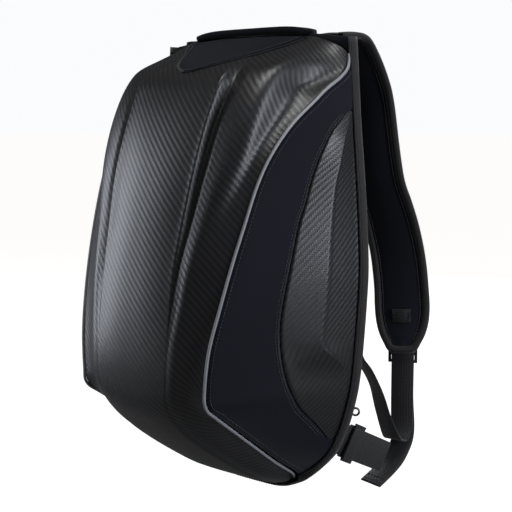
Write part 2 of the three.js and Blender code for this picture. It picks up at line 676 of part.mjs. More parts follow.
function carryHandle() {
  const base = TOP_ROWS[TOP_ROWS.length - 1].height * HALF_HEIGHT + 1 + HANDLE_WALL / 2;
  const y = -HANDLE_WIDTH / 2 + 3;
  const points = HANDLE_ROWS.map((r) => V(r.along * HANDLE_HALF_SPAN, y, base - GAP + r.rise * HANDLE_RISE));
  const frames = framesOf(points, points.map(() => V(0, 1, 0)));
  return sweep(frames, () => roundedSection(HANDLE_WIDTH, HANDLE_WALL, 8));
}

const STRAP_END_THICK = 0.7; // share of STRAP_THICKNESS at the strap's lower end

// Shoulder strap: side is the outer edge's share of STRAP_SIDE, out its share of STRAP_OUT.
const STRAP_ROWS = [
  { side: 0.94, out: 0.0345, height: 0.972, turn: 0, width: 0.92, thick: 0.7 },
  { side: 0.96, out: 0.15, height: 0.975, turn: 2, width: 0.95, thick: 0.8 },
  { side: 0.98, out: 0.25, height: 0.955, turn: 5, width: 1, thick: 1 },
  { side: 1, out: 0.34, height: 0.89, turn: 8, width: 1, thick: 1 },
  { side: 1, out: 0.43, height: 0.81, turn: 10, width: 1, thick: 1 },
  { side: 1, out: 0.5, height: 0.72, turn: 12, width: 1, thick: 1 },
  { side: 1, out: 0.548, height: 0.6, turn: 13, width: 1, thick: 1 },
  { side: 1, out: 0.592, height: 0.48, turn: 14, width: 1, thick: 1 },
  { side: 1, out: 0.65, height: 0.36, turn: 16, width: 1, thick: 1 },
  { side: 1, out: 0.735, height: 0.27, turn: 18, width: 1, thick: 1 },
  { side: 1, out: 0.83, height: 0.16, turn: 20, width: 1, thick: 1 },
  { side: 1, out: 0.915, height: 0.02, turn: 22, width: 1, thick: 1 },
  { side: 1, out: 0.965, height: -0.13, turn: 24, width: 1, thick: 1 },
  { side: 0.995, out: 0.985, height: -0.25, turn: 26, width: 0.99, thick: 1 },
  { side: 0.962, out: 0.962, height: -0.345, turn: 27, width: 0.8, thick: 0.9 },
  { side: 0.9, out: 0.92, height: -0.41, turn: 28, width: 0.46, thick: STRAP_END_THICK },
];

function strapFrame(row, side) {
  const turn = THREE.MathUtils.degToRad(row.turn);
  const across = V(Math.cos(turn), Math.sin(turn), 0);
  const edge = V(row.side * STRAP_SIDE, row.out * STRAP_OUT, row.height * HALF_HEIGHT);
  const centre = edge.addScaledVector(across, (-row.width * STRAP_WIDTH) / 2);
  return { centre: V(side * centre.x, centre.y, centre.z), across: V(side * across.x, across.y, 0) };
}

function strapFrames(side) {
  const rows = STRAP_ROWS.map((row) => strapFrame(row, side));
  const frames = framesOf(rows.map((r) => r.centre), rows.map((r) => r.across));
  return frames.map((frame, i) => ({ ...frame, row: STRAP_ROWS[i] }));
}

function shoulderStrap(side) {
  const rings = strapFrames(side).map(({ centre, across, normal, row }) =>
    roundedSection(row.width * STRAP_WIDTH, row.thick * STRAP_THICKNESS, 12).map(([a, n]) =>
      centre.clone().addScaledVector(across, a).addScaledVector(normal, n),
    ),
  );
  const frames = strapFrames(side);
  return loft(rings, frames.map(({ across, normal }) => [across, normal]));
}

function box(width, height, thickness, frame, shift) {
  const geometry = new THREE.BoxGeometry(width, height, thickness);
  return placed(geometry, frame, shift);
}

// Puts a flat geometry into a frame: its x runs across, its y along and its z on the normal.
function placed(geometry, { centre, across, along, normal }, [a, b, n]) {
  const origin = centre
    .clone()
    .addScaledVector(across, a)
    .addScaledVector(along, b)
    .addScaledVector(normal, n);
  const matrix = new THREE.Matrix4().makeBasis(across, along, normal).setPosition(origin);
  return geometry.clone().applyMatrix4(matrix);
}

// The face of the strap that looks back at the bag carries a short sewn bar of webbing.
const BAR_ROW = 13;

function strapBar(side) {
  const frame = strapFrames(side)[BAR_ROW];
  const facing = frame.normal.y < 0 ? frame.normal : frame.normal.clone().negate();
  const along = facing.clone().cross(frame.across).normalize();
  const lift = STRAP_THICKNESS / 2 + GAP + WEB_WALL / 2 + 0.4;
  return box(BAR_LENGTH, BAR_WIDTH, WEB_WALL, { ...frame, along, normal: facing }, [0, 0, lift]);
}

// Ladder lock behind the strap's lower end, on the side that looks away from the bag.
function lockFrame(side) {
  const last = strapFrames(side)[STRAP_ROWS.length - 1];
  const along = V(0, 0, -1);
  const across = last.across.clone();
  across.z = 0;
  across.normalize();
  const normal = across.clone().cross(along).normalize();
  const away = normal.y < 0 ? -1 : 1; // turns the normal away from the bag
  const behind = (STRAP_END_THICK * STRAP_THICKNESS) / 2 + LOCK_THICKNESS / 2 + 1.5 + GAP;
  const centre = last.centre
    .clone()
    .addScaledVector(along, -LOCK_RAISE)
    .addScaledVector(normal, away * behind);
  return { centre, across, along, normal, away };
}

function slottedFrame(width, length, slots) {
  const shape = new THREE.Shape();
  shape.moveTo(-width / 2, 0);
  shape.lineTo(width / 2, 0);
  shape.lineTo(width / 2, length);
  shape.lineTo(-width / 2, length);
  for (const [from, to, rail] of slots) {
    const hole = new THREE.Path();
    const half = width / 2 - rail;
    hole.moveTo(-half, from);
    hole.lineTo(-half, to);
    hole.lineTo(half, to);
    hole.lineTo(half, from);
    shape.holes.push(hole);
  }
  return shape;
}

// Bars of the lock, down from its top: rail, slot, the bar that the webbing turns round, slot, rail.
const LOCK_TURN = LOCK_RAIL + LOCK_SLOT; // top of the middle bar

function ladderLock(side) {
  const slots = [
    [LOCK_RAIL, LOCK_TURN, LOCK_RAIL],
    [LOCK_TURN + LOCK_RAIL, LOCK_LENGTH - LOCK_RAIL, LOCK_RAIL],
  ];
  const body = new THREE.ExtrudeGeometry(slottedFrame(LOCK_WIDTH, LOCK_LENGTH, slots), {
    depth: LOCK_THICKNESS,
    bevelEnabled: false,
  });
  return placed(body, lockFrame(side), [0, 0, -LOCK_THICKNESS / 2]);
}

// Webbing: sewn flat on the back panel's edge, down to its turn, up in front of the lock, round
// its middle bar and down again as the tail. Columns: place as shares of STRAP_SIDE, STRAP_OUT
// and HALF_HEIGHT, then the width direction.
const ANCHOR_ROWS = [
  { side: 1.0, out: 0.0745, height: -0.24, across: [1, 0, 0] },
  { side: 1.0, out: 0.0745, height: -0.3, across: [1, 0, -0.05] },
  { side: 1.01, out: 0.105, height: -0.348, across: [0.98, -0.02, -0.17] },
  { side: 1.018, out: 0.206, height: -0.405, across: [0.94, -0.09, -0.32] },
  { side: 0.958, out: 0.4, height: -0.524, across: [0.91, -0.16, -0.38] },
  { side: 0.883, out: 0.561, height: -0.652, across: [0.95, -0.08, -0.3] },
  { side: 0.817, out: 0.729, height: -0.78, across: [0.985, 0.08, -0.15] },
  { side: 0.8, out: 0.8, height: -0.812, across: [0.96, 0.27, -0.05] },
  { side: 0.79, out: 0.857, height: -0.805, across: [0.91, 0.42, 0] },
];
const TAIL_ROWS = [
  { side: 0.783, out: 0.927, height: -0.76, across: [0.883, 0.469, 0] },
  { side: 0.79, out: 0.906, height: -0.82, across: [0.89, 0.44, -0.02] },
  { side: 0.805, out: 0.845, height: -0.86, across: [0.9, 0.4, -0.06] },
  { side: 0.825, out: 0.748, height: -0.9, across: [0.92, 0.36, -0.1] },
  { side: 0.845, out: 0.626, height: -0.928, across: [0.94, 0.3, -0.13] },
  { side: 0.867, out: 0.44, height: -0.96, across: [0.95, 0.25, -0.15] },
];
const RISE_SHARES = [0.85, 0.5, 0.1]; // places between the lock and the turn at the bottom

function webPoint(row, side) {
  return V(side * row.side * STRAP_SIDE, row.out * STRAP_OUT, row.height * HALF_HEIGHT);
}

function webAcross(row, side) {
  return V(side * row.across[0], row.across[1], row.across[2]);
}

function strapWebbing(side) {
  const lock = lockFrame(side);
  const offset = LOCK_THICKNESS / 2 + WEB_WALL / 2 + WEB_PLAY;
  const at = (down, n) =>
    lock.centre.clone().addScaledVector(lock.along, down).addScaledVector(lock.normal, lock.away * n);
  const points = ANCHOR_ROWS.map((row) => webPoint(row, side));
  const widths = ANCHOR_ROWS.map((row) => webAcross(row, side));
  const turn = points[points.length - 1];
  const hang = lock.centre.z - LOCK_LENGTH - turn.z;
  const loop = WEB_WALL / 2 + WEB_PLAY; // stand of the webbing over the bar
  const across = lock.across.clone().multiplyScalar(side * Math.sign(lock.across.x));
  const rise = [
    ...RISE_SHARES.map((share) => at(LOCK_LENGTH + share * hang, -offset)),
    at(LOCK_TURN + loop, -offset),
    at(LOCK_TURN - loop, -offset * 0.75),
    at(LOCK_TURN - 2 * loop, 0),
    at(LOCK_TURN - loop, offset * 0.75),
    at(LOCK_TURN + loop, offset),
    ...[...RISE_SHARES].reverse().slice(0, 2).map((share) => at(LOCK_LENGTH + share * hang, offset)),
  ];
  points.push(...rise);
  widths.push(...rise.map(() => across));
  points.push(...TAIL_ROWS.map((row) => webPoint(row, side)));
  widths.push(...TAIL_ROWS.map((row) => webAcross(row, side)));
  const half = WEB_WIDTH / 2;
  const ring = [[-half, -WEB_WALL / 2], [half, -WEB_WALL / 2], [half, WEB_WALL / 2], [-half, WEB_WALL / 2]];
  return sweep(framesOf(smooth(points, 2), smooth(widths, 2)), () => ring);
}

// Waist webbing: a folded loop that leaves the lower corner of the back edge and carries a slider.
const WAIST_START = { height: -0.712, out: 4.5, lead: 4.5 }; // the lead runs straight back
const WAIST_ALONG = [-0.06, 0.911, -0.41];
const WAIST_ACROSS = [0.18, 0.42, 0.89];

function waistFrame(side) {
  const z = WAIST_START.height * HALF_HEIGHT;
  const centre = V(side * backHalfWidth(z), WAIST_START.out + WAIST_START.lead, z);
  const slope = (backHalfWidth(z + 5) - backHalfWidth(z - 5)) / 10;
  const edge = V(side * slope, 0, 1).normalize(); // runs up along the back edge
  const along = V(side * WAIST_ALONG[0], WAIST_ALONG[1], WAIST_ALONG[2]).normalize();
  const wide = V(side * WAIST_ACROSS[0], WAIST_ACROSS[1], WAIST_ACROSS[2]);
  const across = wide.addScaledVector(along, -wide.dot(along)).normalize();
  const normal = across.clone().cross(along).normalize();
  return { centre, across, along, normal, edge };
}

const FOLD_RADIUS = 1.5;
const SLIDER_AT = 8; // from the bag's edge to the slider

function waistWebbing(side) {
  const frame = waistFrame(side);
  const out = side * Math.sign(frame.normal.x) || 1;
  const at = (b, height) =>
    frame.centre.clone().addScaledVector(frame.along, b).addScaledVector(frame.normal, out * height);
  const over = SLIDER_THICKNESS / 2 + WEB_WALL / 2 + GAP;
  const mid = SLIDER_AT + SLIDER_LENGTH / 2;
  const end = WAIST_REACH;
  const path = [
    at(0, -over).add(V(0, -WAIST_START.lead, 0)),
    at(0, -over),
    at(SLIDER_AT * 0.5, -over),
    at(mid, -over - 0.3),
    at((mid + end) / 2, -over),
    at(end - 6 * FOLD_RADIUS, -FOLD_RADIUS - 0.3),
    at(end - 0.7 * FOLD_RADIUS, -FOLD_RADIUS),
    at(end + 0.7 * FOLD_RADIUS, 0),
    at(end - 0.7 * FOLD_RADIUS, FOLD_RADIUS),
    at(end - 6 * FOLD_RADIUS, FOLD_RADIUS + 0.3),
    at((mid + end) / 2, over),
    at(mid, over + 0.3),
    at(SLIDER_AT * 0.8, over),
  ];
  const half = WAIST_WIDTH / 2;
  const ring = [[-half, -WEB_WALL / 2], [half, -WEB_WALL / 2], [half, WEB_WALL / 2], [-half, WEB_WALL / 2]];
  const turned = [0, 0.4, 0.9]; // how far the width has turned from the back edge to the slider
  const widths = path.map((_, i) => frame.edge.clone().lerp(frame.across, turned[i] ?? 1));
  return sweep(framesOf(smooth(path, 2), smooth(widths, 2), true), () => ring);
}

function waistSlider(side) {
  const frame = waistFrame(side);
  const bar = SLIDER_LENGTH / 2 - SLIDER_RAIL * 0.6;
  const slots = [
    [SLIDER_RAIL, bar, SLIDER_RAIL],
    [SLIDER_LENGTH - bar, SLIDER_LENGTH - SLIDER_RAIL, SLIDER_RAIL],
  ];
  const width = WAIST_WIDTH + 2 * SLIDER_RAIL + 2;
  const body = new THREE.ExtrudeGeometry(slottedFrame(width, SLIDER_LENGTH, slots), {
    depth: SLIDER_THICKNESS - 0.8,
    bevelEnabled: false,
  });
  return placed(body, frame, [0, SLIDER_AT, -(SLIDER_THICKNESS - 0.8) / 2]);
}

// Small wire ring in a seam loop of the back edge.
const RING_HEIGHT = -0.578;

function pullRing() {
  const z = RING_HEIGHT * HALF_HEIGHT;
  const ring = new THREE.TorusGeometry(RING_RADIUS - RING_WIRE, RING_WIRE, 8, 20);
  const turn = new THREE.Matrix4().makeRotationZ(THREE.MathUtils.degToRad(42));
  const upright = new THREE.Matrix4().makeRotationX(Math.PI / 2);
  const y = EDGE_START + FLANGE_WALL + GAP + BINDING_WALL + RING_RADIUS - 0.9;
  ring.applyMatrix4(upright).applyMatrix4(turn).translate(backHalfWidth(z) + 1.5, y, z);
  return ring;
}

// Assembly
const bag = new THREE.Group();
bag.position.y = -PAD_RISE; // puts the wearer's face of the back panel in the plane Y = 0

function add(name, geometry, material) {
  const mesh = new THREE.Mesh(geometry, material);
  mesh.name = name;
  bag.add(mesh);
}

add("front_shell", shell(), carbon);
add("top_patch", topPatch(), neoprene);
add("top_band", topBand(), neoprene);
add("back_panel", backPanel(), foam);
add("edge_binding", edgeBinding(), tape);
add("carry_handle", carryHandle(), webbing);
add("pull_ring", pullRing(), wire);
for (const [name, side] of [["right", 1], ["left", -1]]) {
  add(`piping_${name}`, piping(side), reflective);
  add(`side_gusset_${name}`, gusset(side), neoprene);
  add(`rear_wing_${name}`, wing(side), carbon);
  add(`shoulder_strap_${name}`, shoulderStrap(side), foam);
  add(`strap_bar_${name}`, strapBar(side), webbing);
  add(`ladder_lock_${name}`, ladderLock(side), plastic);
  add(`strap_webbing_${name}`, strapWebbing(side), webbing);
  add(`waist_webbing_${name}`, waistWebbing(side), webbing);
  add(`waist_slider_${name}`, waistSlider(side), plastic);
}

export default bag;
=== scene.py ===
# %% [markdown]
# # Hard shell backpack
# A moulded front shell with a woven carbon look, stretch fabric side gussets with silver
# piping, moulded rear wings, a padded back panel in a taped edge, padded shoulder straps and
# their webbing. The solids come from the packed frame. This script gives them their looks,
# and rebuilds the soft and the softly curved pieces at a finer scale.

import math

import bmesh
import bpy
import numpy as np
from mathutils import Matrix, Vector


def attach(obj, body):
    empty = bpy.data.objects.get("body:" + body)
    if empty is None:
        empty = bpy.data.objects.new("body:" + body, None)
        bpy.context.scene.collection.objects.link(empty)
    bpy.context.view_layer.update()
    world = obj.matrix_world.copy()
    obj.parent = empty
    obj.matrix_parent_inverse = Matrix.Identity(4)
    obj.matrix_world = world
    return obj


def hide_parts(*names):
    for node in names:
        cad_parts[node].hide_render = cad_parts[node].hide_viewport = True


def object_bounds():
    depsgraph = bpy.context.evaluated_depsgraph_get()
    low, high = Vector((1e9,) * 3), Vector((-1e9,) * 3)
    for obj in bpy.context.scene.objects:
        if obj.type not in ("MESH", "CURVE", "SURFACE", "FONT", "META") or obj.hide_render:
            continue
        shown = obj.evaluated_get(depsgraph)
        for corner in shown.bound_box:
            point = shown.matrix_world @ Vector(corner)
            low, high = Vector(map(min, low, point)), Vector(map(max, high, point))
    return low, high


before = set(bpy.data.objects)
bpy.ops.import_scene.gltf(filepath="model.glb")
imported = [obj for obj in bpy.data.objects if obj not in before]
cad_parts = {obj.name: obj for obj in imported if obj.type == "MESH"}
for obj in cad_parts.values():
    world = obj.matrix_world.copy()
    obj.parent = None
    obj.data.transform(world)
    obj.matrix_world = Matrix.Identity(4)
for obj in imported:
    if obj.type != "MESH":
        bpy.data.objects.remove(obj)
cad_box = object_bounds()
print("nodes", len(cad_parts))

# %% [markdown]
# ## Camera
# The photograph was taken from the front right and a little above. A long lens from 1.3 m
# keeps the perspective as mild as it is there. The camera comes first, because every later
# piece is judged through it.

# %% Camera
MM = 0.001
PAD_RISE = 10  # edge plane to the wearer's face, which is the plane Y = 0
AZIMUTH = math.radians(42.5)
ELEVATION = math.radians(6.5)
CAMERA_DISTANCE = 1.3
FOCAL_PIXELS = 1188 / 512
SENSOR = 36
AIM = Vector((-2.36, -2.16 - PAD_RISE, 9.4)) * MM

view_axis = Vector((
    math.sin(AZIMUTH) * math.cos(ELEVATION),
    -math.cos(AZIMUTH) * math.cos(ELEVATION),
    math.sin(ELEVATION),
))
camera_data = bpy.data.cameras.new("camera")
camera_data.sensor_width = SENSOR
camera_data.lens = FOCAL_PIXELS * SENSOR
camera = bpy.data.objects.new("camera", camera_data)
camera.location = AIM + view_axis * CAMERA_DISTANCE
camera.rotation_euler = view_axis.to_track_quat("Z", "Y").to_euler()
bpy.context.collection.objects.link(camera)
bpy.context.scene.camera = camera
print("lens", round(camera_data.lens, 1), "mm")

# %% [markdown]
# ## Soft boxes
# The photograph shows the bag cut out on white, lit by large soft boxes in a dim studio. A
# black glossy shell shows mostly what it mirrors, so one bright room would wash it out. One
# tall box on the left makes the broad reflection on the middle panel, one on the right lights
# the wing and the straps, one overhead draws the top edges, and one lights the back.

# %% Soft boxes
LIGHTS = [
    # name, width and height in metres, watts, place, target, tint
    ("left_box", (0.55, 1.4), 25, (-1.5, -0.85, 0.1), (0, -0.1, 0), (0.86, 0.9, 1)),
    ("right_box", (0.5, 1.2), 26, (1.7, 0.2, 0.32), (0.1, 0, 0.05), (0.86, 0.9, 1)),
    ("overhead_box", (0.9, 0.5), 14, (0.35, -0.35, 1.4), (0, 0, 0.1), (1, 1, 1)),
    ("back_box", (0.9, 1.2), 26, (-0.4, 1.6, 0.5), (0, 0, 0), (1, 1, 1)),
]
for name, size, power, place, target, tint in LIGHTS:
    light = bpy.data.lights.new(name, "AREA")
    light.shape = "RECTANGLE"
    light.size, light.size_y = size
    light.energy = power
    light.color = tint
    lamp = bpy.data.objects.new(name, light)
    lamp.location = place
    lamp.rotation_euler = (Vector(place) - Vector(target)).to_track_quat("Z", "Y").to_euler()
    bpy.context.collection.objects.link(lamp)
print("soft boxes", len(LIGHTS))

# %% [markdown]
# ## Walls and floor
# The walls and the floor are white only where they are seen past the bag, and dim for the
# light that reaches it. A light path node tells the two apart. White for both would be simpler,
# but it turns the black shell grey.

# %% Walls and floor
WALL_GLOW = {"on_the_bag": 0.06, "seen": 1.0}
FLOOR_GLOW = {"on_the_bag": 0.05, "seen": 0.97}
FLOOR_DROP = 0.012
FLOOR_SIZE = 60
floor_z = cad_box[0][2] - FLOOR_DROP


def glow_by_ray(tree, glow, socket):
    seen = tree.nodes.new("ShaderNodeLightPath")
    strength = tree.nodes.new("ShaderNodeMix")
    tree.links.new(seen.outputs["Is Camera Ray"], strength.inputs[0])
    strength.inputs[2].default_value = glow["on_the_bag"]
    strength.inputs[3].default_value = glow["seen"]
    tree.links.new(strength.outputs[0], socket)


world = bpy.data.worlds.new("pale_room")
world.use_nodes = True
walls = world.node_tree.nodes["Background"]
walls.inputs["Color"].default_value = (0.96, 0.97, 0.98, 1)
glow_by_ray(world.node_tree, WALL_GLOW, walls.inputs["Strength"])
bpy.context.scene.world = world
bpy.context.scene.view_settings.view_transform = "Standard"

bpy.ops.mesh.primitive_plane_add(size=FLOOR_SIZE, location=(0, 0, floor_z))
floor = bpy.context.object
floor.name = "floor"
floor_material = bpy.data.materials.new("floor_paint")
floor_material.use_nodes = True
floor_shader = floor_material.node_tree.nodes["Principled BSDF"]
floor_shader.inputs["Base Color"].default_value = (0.12, 0.12, 0.12, 1)
floor_shader.inputs["Roughness"].default_value = 0.8
floor_shader.inputs["Emission Color"].default_value = (1, 0.99, 0.98, 1)
glow_by_ray(floor_material.node_tree, FLOOR_GLOW, floor_shader.inputs["Emission Strength"])
floor.data.materials.append(floor_material)
print("floor at", round(floor_z, 3))

# %% [markdown]
# ## A short way to write materials
# Each finish below is a small graph of nodes. This helper adds a node, sets its values and
# joins its inputs in one line, so that a finish reads as a list of what it is made of.

# %% Material helper
class Finish:
    """A material with its shader, and short calls to add the nodes that feed it."""

    def __init__(self, name, color, roughness, **sockets):
        self.material = bpy.data.materials.new(name)
        self.material.use_nodes = True
        self.tree = self.material.node_tree
        self.shader = self.tree.nodes["Principled BSDF"]
        self.shader.inputs["Base Color"].default_value = (*color, 1)
        self.shader.inputs["Roughness"].default_value = roughness
        for key, value in sockets.items():
            self.shader.inputs[key.replace("_", " ")].default_value = value

    def node(self, kind, inputs=(), **settings):
        made = self.tree.nodes.new(kind)
        for key, value in settings.items():
            setattr(made, key, value)
        for key, value in dict(inputs).items():
            if isinstance(value, bpy.types.NodeSocket):
                self.tree.links.new(value, made.inputs[key])
            else:
                made.inputs[key].default_value = value
        return made

    def math(self, operation, a, b=0.0):
        return self.node("ShaderNodeMath", {0: a, 1: b}, operation=operation).outputs[0]

    def times(self, a, b):
        return self.math("MULTIPLY", a, b)

    def plus(self, a, b):
        return self.math("ADD", a, b)

    def blend(self, factor, a, b):
        """a where the factor is 0 and b where it is 1, for plain numbers."""
        mixed = self.node("ShaderNodeMix", {0: factor, 2: a, 3: b})
        return mixed.outputs[0]

    def tint(self, factor, color, low, high):
        """Feeds the colour, low times as bright where the factor is 0 and high times where it is 1."""
        mixed = self.node("ShaderNodeMix", {0: factor}, data_type="RGBA")
        mixed.inputs[6].default_value = (*(low * c for c in color), 1)
        mixed.inputs[7].default_value = (*(high * c for c in color), 1)
        self.feed("Base Color", mixed.outputs[2])

    def uv(self):
        place = self.node("ShaderNodeTexCoord").outputs["UV"]
        parts = self.node("ShaderNodeSeparateXYZ", {0: place})
        return parts.outputs[0], parts.outputs[1]

    def noise(self, scale, detail=2.0):
        place = self.node("ShaderNodeTexCoord").outputs["Object"]
        noise = self.node("ShaderNodeTexNoise", {"Vector": place, "Scale": scale, "Detail": detail})
        return noise.outputs[0]

    def bump(self, height, distance, strength=1.0, over=None):
        inputs = {"Height": height, "Distance": distance, "Strength": strength}
        if over is not None:
            inputs["Normal"] = over
        return self.node("ShaderNodeBump", inputs).outputs[0]

    def feed(self, socket, value):
        self.tree.links.new(value, self.shader.inputs[socket])


print("finish calls", [name for name in vars(Finish) if not name.startswith("_")])

# %% [markdown]
# ## Carbon look
# The shell's skin is a film with the relief of a two by two twill: each tow passes over two
# and under two, one step on in the next row, and so the eye sees slanted stripes. The tows
# that run up and those that run across are cylinders turned by a quarter, and catch the light
# at different places. So the height follows the upper tow, the gloss changes with it, and a
# low rib along the slant carries the stripes where single tows are too small to be seen.

# %% Carbon look
TOW = 1.9 * MM  # width of one tow; four of them make one stripe
CARBON_COLOR = (0.009, 0.009, 0.0098)
CARBON_ROUGHNESS = 0.31
CARBON_RELIEF = 0.18 * MM


def carbon_look(name):
    finish = Finish(
        name, CARBON_COLOR, CARBON_ROUGHNESS,
        Anisotropic=0.3, Coat_Weight=0.1, Coat_Roughness=0.22, Specular_IOR_Level=0.42,
    )
    u, v = finish.uv()
    across = finish.math("DIVIDE", u, TOW)
    upward = finish.math("DIVIDE", v, TOW)
    step = finish.plus(finish.math("FLOOR", across), finish.math("FLOOR", upward))
    phase = finish.math("FLOORED_MODULO", step, 4.0)
    over = finish.math("LESS_THAN", phase, 1.5)

    def crest(value):
        place = finish.math("SUBTRACT", finish.times(finish.math("FRACT", value), 2.0), 1.0)
        return finish.math("SUBTRACT", 1.0, finish.times(place, place))

    slant = finish.math("SUBTRACT", finish.plus(across, upward), 1.5)
    rib = finish.math("COSINE", finish.times(slant, math.pi / 2))
    tows = finish.blend(over, crest(upward), crest(across))
    height = finish.plus(finish.times(rib, 0.5), finish.times(tows, 0.45))
    finish.feed("Normal", finish.bump(height, CARBON_RELIEF, 0.9))
    wear = finish.noise(9.0, 4.0)
    # Painted reflection: the base colour is painted lighter on the rib crests and the upper tows, and the
    # gloss follows the same mask.
    stripe_sheen = finish.plus(finish.times(rib, 0.4), finish.times(over, 0.2))
    finish.tint(finish.plus(finish.plus(stripe_sheen, 0.35), finish.times(wear, 0.2)), CARBON_COLOR, 0.2, 1.5)
    gloss = finish.blend(stripe_sheen, CARBON_ROUGHNESS + 0.12, CARBON_ROUGHNESS - 0.06)
    finish.feed("Roughness", finish.plus(gloss, finish.times(wear, 0.05)))
    finish.feed("Tangent", finish.node("ShaderNodeTangent", direction_type="UV_MAP").outputs[0])
    return finish.material


CARBON = carbon_look("carbon_look")
print("one stripe", round(4 * TOW / MM, 1), "mm across")

# %% [markdown]
# ## Fabrics
# Stretch fabric over foam is matt, blue black, and faintly grained. Its knit is finer than a
# pixel of the photograph, so a fine noise and a slow change of tint do the work. Sewing thread
# gets the same finish in two tints.

# %% Fabrics
def stretch_fabric(name, color, roughness, sheen, gloss=0.16):
    finish = Finish(name, color, roughness, Sheen_Weight=sheen, Sheen_Roughness=0.4, Specular_IOR_Level=gloss)
    knit = finish.noise(2600.0, 2.0)
    slow = finish.noise(18.0, 3.0)
    finish.tint(finish.plus(finish.times(knit, 0.5), finish.times(slow, 0.5)), color, 0.6, 1.4)
    soft = finish.bump(slow, 0.6 * MM, 0.3)
    finish.feed("Normal", finish.bump(knit, 0.12 * MM, 0.6, over=soft))
    return finish.material


NEOPRENE = stretch_fabric("stretch_fabric", (0.004, 0.0047, 0.0088), 0.82, 0.12)
PATCH_FABRIC = stretch_fabric("patch_fabric", (0.0024, 0.0028, 0.005), 0.85, 0.03, 0.08)
STRAP_FABRIC = stretch_fabric("strap_fabric", (0.0042, 0.0048, 0.0082), 0.8, 0.14)
THREAD = stretch_fabric("thread", (0.0035, 0.0035, 0.004), 0.6, 0.2)
THREAD_PALE = stretch_fabric("pale_thread", (0.034, 0.034, 0.038), 0.6, 0.3)
print("fabrics", [m.name for m in (NEOPRENE, PATCH_FABRIC, STRAP_FABRIC, THREAD, THREAD_PALE)])

# %% [markdown]
# ## Mesh, webbing and tape
# The back is covered in a spacer mesh with rows of round holes. Webbing and tape are woven
# bands: ribs cross their width and finer lines run along them, drawn from the band's own
# length and width. Sine waves are enough for both, as a hole or a rib is near a pixel wide.

# %% Mesh, webbing and tape
def waves(finish, places, pitches):
    """A sine wave over each of the given places, with its own pitch."""
    return [finish.math("SINE", finish.times(p, 2 * math.pi / pitch)) for p, pitch in zip(places, pitches)]


def open_mesh(name, color, pitch):
    finish = Finish(name, color, 0.8, Sheen_Weight=0.3, Sheen_Roughness=0.4, Specular_IOR_Level=0.25)
    place = finish.node("ShaderNodeTexCoord").outputs["Object"]
    x, _, z = finish.node("ShaderNodeSeparateXYZ", {0: place}).outputs
    knots_and_hole_shade = finish.plus(finish.times(finish.times(*waves(finish, (x, z), (pitch, pitch))), 0.5), 0.5)
    # Painted shade: the holes are painted dark and the knots between them lighter, following the same waves
    # as the bump.
    finish.tint(knots_and_hole_shade, color, 0.3, 1.6)
    finish.feed("Normal", finish.bump(knots_and_hole_shade, 0.6 * MM, 0.8))
    return finish.material


def ribbed(name, color, rib, line, roughness):
    finish = Finish(name, color, roughness, Sheen_Weight=0.25, Sheen_Roughness=0.4, Specular_IOR_Level=0.3)
    u, v = finish.uv()
    weave = finish.times(finish.plus(*waves(finish, (v, u), (rib, line))), 0.25)
    fuzz = finish.noise(900.0, 3.0)
    finish.tint(finish.plus(finish.plus(weave, 0.35), finish.times(fuzz, 0.3)), color, 0.55, 1.5)
    finish.feed("Normal", finish.bump(weave, 0.35 * MM, 0.8))
    return finish.material


MESH_FABRIC = open_mesh("back_mesh", (0.011, 0.011, 0.013), 3.2 * MM)
TAPE = ribbed("binding_tape", (0.012, 0.0108, 0.0108), 1.1 * MM, 2.2 * MM, 0.75)
WEBBING = ribbed("webbing", (0.0095, 0.009, 0.0095), 1.6 * MM, 3.0 * MM, 0.6)
print("woven", [m.name for m in (MESH_FABRIC, TAPE, WEBBING)])

# %% [markdown]
# ## Hard trim
# The buckles are moulded nylon with a fine spark texture, the ring is bent wire, and the
# piping is a silver grey reflective film round a cord.

# %% Hard trim
def moulded(name, color, roughness, grain, metallic=0.0):
    finish = Finish(name, color, roughness, Metallic=metallic)
    spark = finish.noise(grain, 3.0)
    finish.feed("Roughness", finish.blend(spark, roughness - 0.08, roughness + 0.1))
    finish.feed("Normal", finish.bump(spark, 0.08 * MM, 0.4))
    return finish.material


PLASTIC = moulded("buckle_plastic", (0.012, 0.012, 0.013), 0.42, 1500.0)
WIRE = moulded("ring_wire", (0.09, 0.09, 0.095), 0.3, 700.0, 1.0)
PIPING = moulded("reflective_piping", (0.2, 0.205, 0.215), 0.42, 1200.0)
print("hard trim ready")

# %% [markdown]
# ## Smooth curves through few points
# Most pieces are a grid of points: rows down the bag and columns across it. Their tables hold
# few rows, and a smooth curve that runs through them gives the rest. Its slopes come from the
# neighbouring rows, so it never leaves them by much, as a free spline would.

# %% Curves and tables
SIDES = (("right", 1), ("left", -1))


def table(columns, rows):
    """Rows of numbers as records with named columns."""
    return [dict(zip(columns.split(), row)) for row in rows]


def curve_through(points, count):
    """Points on a smooth curve through the given ones, with count steps for each interval."""
    points = np.asarray(points, float)
    last = len(points) - 1
    result = []
    for i in range(last):
        a, b = points[i], points[i + 1]
        va = (b - points[max(i - 1, 0)]) / 2
        vb = (points[min(i + 2, last)] - a) / 2
        for k in range(count):
            t = k / count
            result.append(
                a * (2 * t**3 - 3 * t**2 + 1)
                + b * (3 * t**2 - 2 * t**3)
                + va * (t**3 - 2 * t**2 + t)
                + vb * (t**3 - t**2)
            )
    result.append(points[last])
    return np.array(result)


